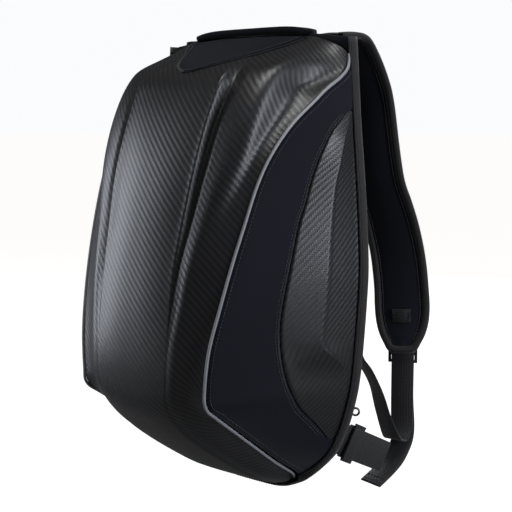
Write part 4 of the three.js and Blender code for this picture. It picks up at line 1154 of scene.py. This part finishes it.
def back_outline(count):
    half, top = outline_half(count), top_half(count)
    left, top_left = mirrored(half[:-1], -1), mirrored(top[:-1], -1)
    return np.concatenate([left, half[::-1], top, top_left[::-1]])


def outward(line, closed):
    ahead = np.roll(line, -1, axis=0) if closed else np.concatenate([line[1:], line[-1:]])
    behind = np.roll(line, 1, axis=0) if closed else np.concatenate([line[:1], line[:-1]])
    along = ahead - behind
    along = unit_rows(along)
    return np.stack([along[:, 2], np.zeros(len(line)), -along[:, 0]], axis=1)


print("outline points", len(back_outline(3)))

# %% [markdown] ## Swelling a pad with cloth Foam in sewn fabric crowns between its seams.
# Vertex moves could fake that, but a cloth simulation with a little pressure finds the true
# form by itself. The pad is remeshed evenly, its seams are pinned, and no point may move
# further than a cap.

# %% Swelling a pad with cloth
CLOTH_FRAMES = 20
PRESSURE = 4.0


def inflated(piece, voxel, cap, held):
    """Swells a padded piece with cloth. Its held part stays, and nothing moves more than cap."""
    view = bpy.context.view_layer
    remesh = piece.modifiers.new("even", "REMESH")
    remesh.mode = "VOXEL"
    remesh.voxel_size = voxel * MM
    view.update()
    shape = bpy.data.meshes.new_from_object(piece.evaluated_get(view.depsgraph))
    piece.modifiers.clear()
    before = np.empty(len(shape.vertices) * 3)
    shape.vertices.foreach_get("co", before)
    before = before.reshape(-1, 3)
    body = bpy.data.objects.new(piece.name + "_cloth", shape)
    bpy.context.collection.objects.link(body)
    pins = body.vertex_groups.new(name="held")
    for i, place in enumerate(before):
        weight = held(place / MM + [0, PAD_RISE, 0])
        if weight > 0:
            pins.add([i], weight, "REPLACE")
    cloth = body.modifiers.new("cloth", "CLOTH")
    cloth.settings.use_pressure = True
    cloth.settings.uniform_pressure_force = PRESSURE
    cloth.settings.effector_weights.gravity = 0
    cloth.settings.vertex_group_mass = "held"
    cloth.point_cache.frame_start, cloth.point_cache.frame_end = 1, CLOTH_FRAMES
    for frame_number in range(1, CLOTH_FRAMES + 1):
        bpy.context.scene.frame_set(frame_number)
    swollen = body.evaluated_get(bpy.context.evaluated_depsgraph_get()).to_mesh()
    after = np.empty(len(swollen.vertices) * 3)
    swollen.vertices.foreach_get("co", after)
    move = after.reshape(-1, 3) - before
    length = np.linalg.norm(move, axis=1, keepdims=True)
    move *= np.minimum(1, cap * MM / np.maximum(length, 1e-9))
    body.evaluated_get(bpy.context.evaluated_depsgraph_get()).to_mesh_clear()
    bpy.context.scene.frame_set(1)
    shape.vertices.foreach_set("co", (before + move).ravel())
    bpy.data.objects.remove(body)
    material = piece.data.materials[0]
    piece.data = shape
    shape.materials.clear()
    shape.materials.append(material)
    smooth = piece.modifiers.new("fine", "SUBSURF")
    smooth.levels = smooth.render_levels = 1
    view.update()
    fine = bpy.data.meshes.new_from_object(piece.evaluated_get(view.depsgraph))
    piece.modifiers.clear()
    piece.data = fine
    fine.shade_smooth()
    print(piece.name, "moved", round(float(length.max()) / MM, 2), "mm, capped at", cap)
    return piece


print("cloth runs for", CLOTH_FRAMES, "frames")

# %% [markdown]
# ## Back pad
# The pad behind the bag is foam in mesh fabric, made as a low block and then swollen. Its flat
# rim lies under the tape. The rim is thinner than the remesh can keep, so it is a piece of its
# own.

# %% Back pad
PAD_PROFILE = [(0.0, 0.0), (0.12, 0.42), (0.35, 0.74), (0.65, 0.92), (1.0, 1.0)]
PAD_VOXEL, PAD_CAP = 6, 1.6
PAD_SEAM = 14  # width of the held rim
CHANNEL_X, CHANNEL_Z = 48, 90  # the sewn channels, two down the pad and two across it


def shrunk(line, distance, y):
    scaled = line * [1 - distance / BACK_HALF_WIDTH, 0, 1 - distance / HALF_HEIGHT]
    return scaled + [0, y, 0]


def back_pad():
    line = back_outline(3)
    out = outward(line, closed=True)
    rim = EDGE_START + FLANGE_WALL
    inner = BINDING_REAR + PANEL_INSET + 1.5
    rise = PAD_RISE - rim
    rings = [line - out * PANEL_INSET + [0, EDGE_START, 0], line - out * PANEL_INSET + [0, rim, 0]]
    rings += [shrunk(line, inner + PAD_SLOPE_WIDTH * s, rim + rise * h) for s, h in PAD_PROFILE]
    for share in (0.75, 0.5, 0.25, 0.06):
        rings.append(shrunk(line, inner + PAD_SLOPE_WIDTH, PAD_RISE) * [share, 1, share])
    return ring_piece("back_pad", rings, MESH_FABRIC, ["back_panel"])


def pad_held(place):
    """The rim is sewn down, and so are the channels."""
    x, y, z = place
    rim = min(back_half_width(z) - abs(x), z + 238, 240 - z)
    channel = min(abs(abs(x) - CHANNEL_X), abs(abs(z) - CHANNEL_Z))
    return 1.0 if rim < PAD_SEAM or channel < 2.5 or y < 6 else 0.0


def pad_frame():
    """The flat rim that the pad is sewn to, under the tape."""
    line = back_outline(3)
    edge = line - outward(line, closed=True) * PANEL_INSET
    rim = EDGE_START + FLANGE_WALL
    reach = BINDING_REAR + PANEL_INSET + 9
    rings = [edge + [0, EDGE_START, 0], edge + [0, rim, 0]]
    rings += [shrunk(line, reach, rim), shrunk(line, reach, EDGE_START)]
    ring_piece("pad_rim", rings, MESH_FABRIC, closed=True)


pad_frame()
pad = inflated(back_pad(), PAD_VOXEL, PAD_CAP, pad_held)
print("pad faces", len(pad.data.polygons))

# %% [markdown]
# ## Edge tape
# A woven tape is folded over the edge and covers the raw rims of gusset and pad. Its section
# is a few points round the edge, and leans to lie flat on the side. It is sewn near both rims.

# %% Edge tape
TAPE_STAND = 1.3  # from the edge to the tape's fold


def binding_grid(lift):
    half = outline_half(4)
    line = np.concatenate([mirrored(half[:-1], -1), half[::-1]])
    out = outward(line, closed=False)
    rear = EDGE_START + FLANGE_WALL + GAP
    rows = []
    for p, n in zip(line, out):
        z = min(max(p[2], SIDE_BOTTOM + 1), SIDE_TOP - 1)
        level = side_point(z, 0)[0] - side_point(z, BINDING_COVER)[0]
        beside = abs(p[2] - z) < 1
        lean = (max(level * abs(n[0]), 0.3) if beside else 2) - GAP
        stand = GAP + TAPE_STAND + lift
        profile = [
            (stand - lean, -BINDING_COVER),
            (stand + 0.3, -BINDING_COVER * 0.45),
            (stand + 0.4, 0),
            (stand * 0.8, rear * 0.7 + lift),
            (-PANEL_INSET, rear + lift),
            (-BINDING_REAR, rear + lift),
        ]
        rows.append([p + n * reach + [0, y, 0] for reach, y in curve_through(profile, 4)])
    return np.array(rows)


tape_skin = binding_grid(BINDING_WALL)
wall_piece("edge_tape", tape_skin, binding_grid(0), TAPE, ["edge_binding"])
stitches("tape_stitches", [tape_skin[:, 2], tape_skin[:, -3]], THREAD)
print("tape rows", len(tape_skin))

# %% [markdown]
# ## Top band
# A strip of stretch fabric closes the top between the shell and the back panel, behind the
# patch. The straps and the handle are sewn in along it.

# %% Top band
BAND_WALL = 2.2


def band_grid(drop):
    half = np.concatenate([[[corner_half_width(), 0, BACK_ROWS[0]["height"] * HALF_HEIGHT]], top_half(5)])
    line = np.concatenate([mirrored(half[:-1], -1), half[::-1]])
    edge = shell_plain[0]
    reach = edge[-1][0] - 1
    rows = []
    for p in line:
        x = min(max(p[0], -reach), reach)
        y, z = (np.interp(x, edge[:, 0], edge[:, k]) for k in (1, 2))
        start = np.array([x, y + GAP + 2.6, z - drop + 0.6])
        end = np.array([p[0] * 0.995, 0, p[2] - drop - 0.5])
        middle = (start + end) / 2 + [0, 0, 1.8]
        rows.append(curve_through([start, middle, end], 5))
    return np.array(rows)


band = wall_piece("top_fabric", band_grid(0), band_grid(BAND_WALL), PATCH_FABRIC, ["top_band"])
print("top band", len(band.data.polygons), "faces")

# %% [markdown]
# ## Carry handle
# The handle is a thick padded band, sewn down at both ends and standing a little above the
# top between them. It is swept along its path, because a remesh would round its flat ends.

# %% Carry handle
HANDLE_HALF_SPAN = 78
HANDLE_WIDTH = 20
HANDLE_WALL = 7.5
HANDLE_RISE = 3.6
HANDLE_BASE = TOP_ROWS[-1][1] * HALF_HEIGHT + 1.9
HANDLE_ROWS = [(-1, -0.19), (-0.86, 0.45), (-0.65, 0.88), (-0.35, 1), (0, 1)]
HANDLE_ROWS += [(-share, rise) for share, rise in HANDLE_ROWS[-2::-1]]


def handle_path():
    y = -HANDLE_WIDTH / 2 + 3
    rows = [(share * HANDLE_HALF_SPAN, y, HANDLE_BASE + rise * HANDLE_RISE) for share, rise in HANDLE_ROWS]
    return curve_through(rows, 6)


handle_points = handle_path()
handle = band_piece(
    "handle_band",
    handle_points,
    np.tile([0, 1, 0], (len(handle_points), 1)),
    lambda i: flat_section(HANDLE_WIDTH, HANDLE_WALL, 16),
    PATCH_FABRIC,
    ["carry_handle"],
)
print("handle", len(handle_points), "rings")

# %% [markdown]
# ## The straps' path
# Each strap starts at the top edge, arches over and comes down beside the back, and ends
# rounded, with the buckle behind its end. Its table gives the outer edge, because that edge is
# what the photograph shows, and the turn of its width at each height.

# %% Strap path
STRAP_WIDTH = 60
STRAP_THICKNESS = 9
STRAP_OUT = 155
STRAP_INSET = 25.5
STRAP_SIDE = BACK_HALF_WIDTH - STRAP_INSET
STRAP_ROWS = [
    # side, out, height, turn, width, thickness
    (0.94, 0.0345, 0.972, 0, 0.92, 0.7),
    (0.96, 0.15, 0.975, 2, 0.95, 0.8),
    (0.98, 0.25, 0.955, 5, 1, 1),
    (1, 0.34, 0.89, 8, 1, 1),
    (1, 0.43, 0.81, 10, 1, 1),
    (1, 0.5, 0.72, 12, 1, 1),
    (1, 0.548, 0.6, 13, 1, 1),
    (1, 0.592, 0.48, 14, 1, 1),
    (1, 0.65, 0.36, 16, 1, 1),
    (1, 0.735, 0.27, 18, 1, 1),
    (1, 0.83, 0.16, 20, 1, 1),
    (1, 0.915, 0.02, 22, 1, 1),
    (1, 0.965, -0.13, 24, 1, 1),
    (0.995, 0.985, -0.25, 26, 0.99, 1),
    (0.962, 0.962, -0.345, 27, 0.8, 0.9),
    (0.9, 0.92, -0.41, 28, 0.46, 0.7),
]


def strap_frames(side, count):
    centres, widths = [], []
    for side_share, out, height, turn, width, _ in STRAP_ROWS:
        angle = math.radians(turn)
        across = np.array([math.cos(angle), math.sin(angle), 0])
        edge = np.array([side_share * STRAP_SIDE, out * STRAP_OUT, height * HALF_HEIGHT])
        centres.append((edge - across * width * STRAP_WIDTH / 2) * [side, 1, 1])
        widths.append(across * [side, 1, 1])
    sizes = curve_through([row[4:] for row in STRAP_ROWS], count)
    centres, widths = curve_through(centres, count), curve_through(widths, count)
    across, normal = frames_along(centres, widths)
    return centres, across, normal, sizes


print("strap rows", len(STRAP_ROWS))

# %% [markdown]
# ## Shoulder straps
# A strap is foam between two fabrics, thin at its bound edge and crowned in the middle. It is
# drawn as rings, swollen with cloth between its seams, and then gets its rim of tape and its
# stitches, which a remesh would have erased.

# %% Strap sections
STRAP_EDGE = 4.2  # thickness of the bound edge
STRAP_STATIONS = [
    # inset from the edge, level: up to 1 a share of the bound edge, past it a share of the crown
    (0, 0.0), (0.6, 0.8), (4, 1.0), (8.2, 0.86), (9.2, 0.82), (10.2, 0.9), (15, 1.4), (22, 1.75),
]
TAPE_OUTER = [(-7.5, 2.9), (-3, 2.95), (0.2, 2.3), (0.9, 0), (0.2, -2.3), (-3, -2.95), (-7.5, -2.9)]
TAPE_INNER = [(-7.5, 1.2), (-3, 1.4), (-0.9, 0.7), (-0.9, -0.7), (-3, -1.4), (-7.5, -1.2)]
STRAP_TAPE = TAPE_OUTER + TAPE_INNER[::-1]  # its two legs over the strap's edge
STRAP_SEAM = 10  # width of the held rim
STRAP_VOXEL, STRAP_CAP = 4, 1.0


def strap_section(width, thickness):
    """Outline of the padded strap: bound rims, a sewn line inside them, and a crown."""
    half = width / 2
    crown = thickness / STRAP_EDGE
    top = []
    for inset, level in [*STRAP_STATIONS, (half, 2.0)]:
        x = half - min(inset, half)
        raised = level if level <= 1 else 1 + (level - 1) * max(crown - 1, 0)
        top.append((x, raised * STRAP_EDGE / 2))
    left = [(-x, y) for x, y in top[:-1]][::-1]
    upper = top + left
    lower = [(x, -y) for x, y in upper[1:-1]][::-1]
    return upper + lower


def strap_held(side):
    centres, across, _, sizes = strap_frames(side, 3)

    def held(place):
        near = int(np.argmin(np.linalg.norm(centres - place, axis=1)))
        offset = abs(float(np.dot(place - centres[near], across[near])))
        end = near < 2 or near > len(centres) - 4
        return 1.0 if end or offset > sizes[near][0] * STRAP_WIDTH / 2 - STRAP_SEAM else 0.0

    return held


print("strap seam", STRAP_SEAM, "mm from the edge")

# %% [markdown]
# ## The strap's rim
# A folded tape binds the strap's edge. It runs down one side, round the end and up the other,
# so its section is carried along that one line. The stitches follow the same two sides.

# %% Strap rim
def strap_sides(centres, across, normal, sizes, inset, lift):
    """The two lines down the strap that lie at a distance from its edges."""
    half = sizes[:, :1] * STRAP_WIDTH / 2 - inset
    right = centres + across * half + normal * lift
    left = centres - across * half + normal * lift
    return right, left


def tape_rings(centres, across, normal, sizes):
    """The tape's section carried down one edge of the strap, round its end and up the other."""
    down, up = strap_sides(centres, across, normal, sizes, 0, 0)
    end = (down[-1] + up[-1]) / 2 + (centres[-1] - centres[-2]) * 0.9
    rim = curve_through(np.concatenate([down[::3], [end], up[::-3]]), 4)
    run = unit_rows(np.gradient(rim, axis=0))
    rings = []
    for place, way in zip(rim, run):
        near = int(np.argmin(np.linalg.norm(centres - place, axis=1)))
        n = normal[near] - way * np.dot(normal[near], way)
        n /= np.linalg.norm(n)
        out = np.cross(way, n)
        out = out if np.dot(out, place - centres[max(near - 2, 0)]) > 0 else -out
        rings.append([place + out * (x + 0.5) + n * y for x, y in STRAP_TAPE])
    return rings


print("tape section", len(STRAP_TAPE), "points")

# %% [markdown]
# ## Both straps
# Each strap has three pieces: the swollen pad, its bound rim, and two rows of stitches that
# follow the rim on either face.

# %% Shoulder straps
STITCH_INSET, STITCH_LIFT = 9.2, 2.6


for name, side in SIDES:
    centres, across, normal, sizes = strap_frames(side, 5)
    rings = [
        [c + a * s + n * h for s, h in strap_section(w * STRAP_WIDTH, t * STRAP_THICKNESS)]
        for c, a, n, (w, t) in zip(centres, across, normal, sizes)
    ]
    strap = ring_piece(f"strap_pad_{name}", rings, STRAP_FABRIC, [f"shoulder_strap_{name}"])
    inflated(strap, STRAP_VOXEL, STRAP_CAP, strap_held(side))
    ring_piece(f"strap_tape_{name}", tape_rings(centres, across, normal, sizes), TAPE)
    lines = []
    for lift in (STITCH_LIFT, -STITCH_LIFT):
        lines.extend(strap_sides(centres, across, normal, sizes, STITCH_INSET, lift))
    stitches(f"strap_stitches_{name}", [line[2:-3] for line in lines], THREAD_PALE)
print("strap rings", len(rings))

# %% [markdown]
# ## The webbing's path
# One strip of flat webbing runs on each side from the bag's edge down to a turn, up to the
# buckle behind the strap's end, round its bar, and hangs down as a tail. The free stretches
# are tables of places and widths, and the stretch in the buckle follows the buckle's sizes.

# %% Webbing tables
WEB_WIDTH = 25
WEB_WALL = 1.6
WEB_PLAY = 0.5
LOCK_LENGTH = 21
LOCK_THICKNESS = 3.6
LOCK_RAIL = 3.2
LOCK_SLOT = 5.6
LOCK_RAISE = 6
LOCK_TURN = LOCK_RAIL + LOCK_SLOT
ANCHOR_ROWS = [
    # place (side, out, height), direction of the width
    ((1.0, 0.0745, -0.24), (1, 0, 0)),
    ((1.0, 0.0745, -0.3), (1, 0, -0.05)),
    ((1.01, 0.105, -0.348), (0.98, -0.02, -0.17)),
    ((1.018, 0.206, -0.405), (0.94, -0.09, -0.32)),
    ((0.958, 0.4, -0.524), (0.91, -0.16, -0.38)),
    ((0.883, 0.561, -0.652), (0.95, -0.08, -0.3)),
    ((0.817, 0.729, -0.78), (0.985, 0.08, -0.15)),
    ((0.8, 0.8, -0.812), (0.96, 0.27, -0.05)),
    ((0.79, 0.857, -0.805), (0.91, 0.42, 0)),
]
TAIL_ROWS = [
    # place (side, out, height), direction of the width
    ((0.783, 0.927, -0.76), (0.883, 0.469, 0)),
    ((0.79, 0.906, -0.82), (0.89, 0.44, -0.02)),
    ((0.805, 0.845, -0.86), (0.9, 0.4, -0.06)),
    ((0.825, 0.748, -0.9), (0.92, 0.36, -0.1)),
    ((0.845, 0.626, -0.928), (0.94, 0.3, -0.13)),
    ((0.867, 0.44, -0.96), (0.95, 0.25, -0.15)),
]
RISE_SHARES = [0.85, 0.5, 0.1]
print("webbing turns", LOCK_TURN, "mm down the lock")

# %% [markdown]
# ## Through the buckle
# The buckle hangs behind the strap's end. The webbing rises on the bag's side of it, goes
# round the middle bar and comes down on the other side, and the tail's table goes on from there.

# %% Webbing path
def web_points(rows, side):
    scale = np.array([STRAP_SIDE, STRAP_OUT, HALF_HEIGHT])
    mirror = np.array([side, 1, 1])
    return [np.array(p) * scale * mirror for p, _ in rows], [np.array(w) * mirror for _, w in rows]


def lock_frame(side):
    centres, across, _, _ = strap_frames(side, 1)
    along = np.array([0, 0, -1.0])
    wide = across[-1] * [side, side, 0]
    wide /= np.linalg.norm(wide)
    away = np.cross(wide, along)
    away = away if away[1] > 0 else -away
    behind = 0.7 * STRAP_THICKNESS / 2 + LOCK_THICKNESS / 2 + 1.5 + GAP
    return centres[-1] - along * LOCK_RAISE + away * behind, wide, along, away


def webbing_path(side):
    centre, wide, along, away = lock_frame(side)
    offset = LOCK_THICKNESS / 2 + WEB_WALL / 2 + WEB_PLAY
    loop = WEB_WALL / 2 + WEB_PLAY
    first, first_widths = web_points(ANCHOR_ROWS, side)
    tail, tail_widths = web_points(TAIL_ROWS, side)
    hang = centre[2] - LOCK_LENGTH - first[-1][2]
    stops = [(LOCK_LENGTH + share * hang, -offset) for share in RISE_SHARES]
    stops += [
        (LOCK_TURN + loop, -offset), (LOCK_TURN - loop, -offset * 0.75), (LOCK_TURN - 2 * loop, 0),
        (LOCK_TURN - loop, offset * 0.75), (LOCK_TURN + loop, offset),
    ]
    stops += [(LOCK_LENGTH + share * hang, offset) for share in RISE_SHARES[:0:-1]]
    rise = [centre + along * down + away * n for down, n in stops]
    wide = wide * side * np.sign(wide[0])
    return [*first, *rise, *tail], [*first_widths, *([wide] * len(rise)), *tail_widths]


print("stations on one strip", len(webbing_path(1)[0]))

# %% [markdown]
# ## Webbing
# The strip is a flat section with round edges, swept along the path while its width turns as
# the real strip does. Its end is sewn across twice.

# %% Strap webbing
HEM_HALF = 11
HEM_PLACES = (5, 12)  # from the webbing's end


def band_hem(points, widths, from_end, half):
    """A sewn line straight across a band, some way before its end, on its front face."""
    run = np.cumsum(np.linalg.norm(np.diff(points[::-1], axis=0), axis=1))
    near = len(points) - 2 - int(np.searchsorted(run, from_end))
    across, normal = frames_along(points, widths)
    lines = []
    for sign in (1, -1):
        middle = points[near] + normal[near] * sign * (WEB_WALL / 2 + 0.15)
        lines.append(np.array([middle - across[near] * half, middle + across[near] * half]))
    return lines


for name, side in SIDES:
    points, widths = (curve_through(values, 8) for values in webbing_path(side))
    section = flat_section(WEB_WIDTH, WEB_WALL, 12)
    replaced = [f"strap_webbing_{name}"]
    band_piece(f"strap_web_{name}", points, widths, lambda i: section, WEBBING, replaced)
    hems = [line for from_end in HEM_PLACES for line in band_hem(points, widths, from_end, HEM_HALF)]
    stitches(f"web_stitches_{name}", hems, THREAD_PALE)
print("webbing length", round(float(np.sum(np.linalg.norm(np.diff(points, axis=0), axis=1)))), "mm")

# %% [markdown]
# ## Waist webbing
# A wider strip leaves the lower corner of the back edge, passes through the slider, folds at
# its far end and comes back through the slider. Both layers are one strip with a tight turn.

# %% Waist webbing
WAIST_WIDTH = 34
WAIST_REACH = 84
SLIDER_LENGTH = 20
SLIDER_THICKNESS = 3
SLIDER_AT = 8
SLIDER_FILL = 2.8  # how far the webbing spreads in the slots
FOLD_RADIUS = 1.5
WAIST_SEAMS = (0.62, 0.66)  # places of the sewn lines along the strip
WAIST_SEAM_HALF = 14
WAIST_START = {"height": -0.712, "out": 4.5, "lead": 4.5}
WAIST_ALONG = np.array([-0.06, 0.911, -0.41])
WAIST_ACROSS = np.array([0.18, 0.42, 0.89])


def waist_path(side):
    z = WAIST_START["height"] * HALF_HEIGHT
    mirror = np.array([side, 1, 1])
    centre = np.array([back_half_width(z), WAIST_START["out"] + WAIST_START["lead"], z]) * mirror
    slope = (back_half_width(z + 5) - back_half_width(z - 5)) / 10
    edge = np.array([side * slope, 0, 1]) / math.hypot(slope, 1)
    along = WAIST_ALONG * mirror / np.linalg.norm(WAIST_ALONG)
    wide = WAIST_ACROSS * mirror
    wide = wide - along * np.dot(wide, along)
    wide /= np.linalg.norm(wide)
    normal = np.cross(wide, along)
    normal = normal if normal[0] * side > 0 else -normal
    over = SLIDER_THICKNESS / 2 + WEB_WALL / 2 + GAP
    mid, end, fold = SLIDER_AT + SLIDER_LENGTH / 2, WAIST_REACH, FOLD_RADIUS
    stops = [
        # distance along the strip, height over the middle plane
        (0, -over), (SLIDER_AT * 0.5, -over), (mid, -over - 0.3), ((mid + end) / 2, -over),
        (end - 6 * fold, -fold - 0.3), (end - 0.7 * fold, -fold), (end + 0.7 * fold, 0),
        (end - 0.7 * fold, fold), (end - 6 * fold, fold + 0.3),
        ((mid + end) / 2, over), (mid, over + 0.3), (SLIDER_AT * 0.8, over),
    ]
    points = [centre + along * b + normal * h for b, h in stops]
    points.insert(0, points[0] - [0, WAIST_START["lead"], 0])
    turned = [0, 0.4, 0.9] + [1] * (len(points) - 3)
    return points, [edge + (wide - edge) * t for t in turned]


print("webbing spreads", SLIDER_FILL, "mm in the slider")

# %% [markdown]
# ## Both waist straps
# The strip is flat, and a little wider inside the slider, where it is squeezed. Two sewn
# lines hold its layers together on either face.

# %% Waist straps
for name, side in SIDES:
    points, widths = (curve_through(values, 8) for values in waist_path(side))
    widths = unit_rows(widths)
    run = np.gradient(points, axis=0)
    faces_out = unit_rows(np.cross(widths, run))
    along = (points[8 * 6] - points[8 * 3]) / np.linalg.norm(points[8 * 6] - points[8 * 3])
    reach = (points - points[0]) @ along
    gathered = np.abs(reach - SLIDER_AT - SLIDER_LENGTH / 2) < SLIDER_LENGTH / 2
    rings = [
        [p + w * a + n * h for a, h in flat_section(WAIST_WIDTH + SLIDER_FILL * g, WEB_WALL, 12)]
        for p, w, n, g in zip(points, widths, faces_out, gathered)
    ]
    ring_piece(f"waist_web_{name}", rings, WEBBING, [f"waist_webbing_{name}"])
    lines = []
    for share in WAIST_SEAMS:
        near = int(share * len(points))
        for sign in (1, -1):
            middle = points[near] + faces_out[near] * sign * (WEB_WALL / 2 + 0.15)
            reach = widths[near] * WAIST_SEAM_HALF
            lines.append(np.array([middle - reach, middle + reach]))
    stitches(f"waist_stitches_{name}", lines, THREAD_PALE)
print("waist webbing", WAIST_WIDTH, "mm wide")

# %% [markdown]
# ## Sewn bar on the strap
# A short strip of webbing is sewn across the strap's inner face, with a bar tack at each end.
# It is a low arch between the tacks, wide enough for a clip.

# %% Sewn bar
BAR_ROW = 13
BAR_LENGTH = 20
BAR_WIDTH = 15
BAR_STOPS = [(-0.5, 0.1), (-0.375, 0.2), (-0.2, 1.0), (0, 1.3), (0.2, 1.0), (0.375, 0.2), (0.5, 0.1)]
for name, side in SIDES:
    centres, across, normal, _ = strap_frames(side, 1)
    place, wide, facing = centres[BAR_ROW], across[BAR_ROW], normal[BAR_ROW]
    facing = facing if facing[1] < 0 else -facing
    along = np.cross(facing, wide)
    base = STRAP_THICKNESS / 2 + 0.55
    path = curve_through([place + wide * a * BAR_LENGTH + facing * (base + h) for a, h in BAR_STOPS], 4)
    section = flat_section(BAR_WIDTH, 1.2, 12)
    widths = np.tile(along, (len(path), 1))
    replaced = [f"strap_bar_{name}"]
    band_piece(f"strap_loop_{name}", path, widths, lambda i: section, WEBBING, replaced)
    tacks = []
    for a in (-8.8, -7.8, 7.8, 8.8):
        middle = place + wide * a + facing * (base + 0.95)
        tacks.append(np.array([middle - along * 6.5, middle + along * 6.5]))
    stitches(f"bar_tacks_{name}", tacks, THREAD)
print("sewn bars", BAR_LENGTH, "by", BAR_WIDTH, "mm")

# %% [markdown]
# ## Buckles and ring
# The ladder lock and the slider take their shapes from the frame's solids. Moulded nylon has no
# knife edges, so each is rebuilt with a small round on its edges. The ring's solid is kept.

# %% Buckles and ring
BUCKLE_ROUND = 0.6 * MM


def rounded_copy(name, node, offset, material):
    piece = bpy.data.objects.new(name, node.data.copy())
    bpy.context.collection.objects.link(piece)
    piece.matrix_world = node.matrix_world.copy()
    shape = bmesh.new()
    shape.from_mesh(piece.data)
    bmesh.ops.remove_doubles(shape, verts=shape.verts, dist=1e-6)
    bmesh.ops.dissolve_limit(shape, angle_limit=0.01, verts=shape.verts, edges=shape.edges)
    sharp = [e for e in shape.edges if len(e.link_faces) == 2 and e.calc_face_angle() > 0.6]
    bmesh.ops.bevel(shape, geom=sharp, offset=offset, segments=3, profile=0.5, affect="EDGES")
    shape.to_mesh(piece.data)
    shape.free()
    piece.data.materials.clear()
    piece.data.materials.append(material)
    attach(piece, "root")
    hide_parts(node.name)
    return piece


BUCKLES = {"ladder_lock": "lock_body", "waist_slider": "slider_body"}
for name, node in list(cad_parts.items()):
    for solid, piece_name in BUCKLES.items():
        if name.startswith(solid):
            rounded_copy(name.replace(solid, piece_name), node, BUCKLE_ROUND, PLASTIC)
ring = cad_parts["pull_ring"]
ring.data.materials.clear()
ring.data.materials.append(WIRE)
print("buckles rounded")

# %% [markdown]
# ## Sizes
# The box round the frame's solids is printed.

# %% Sizes
print("cad", [[round(v, 4) for v in c] for c in cad_box])
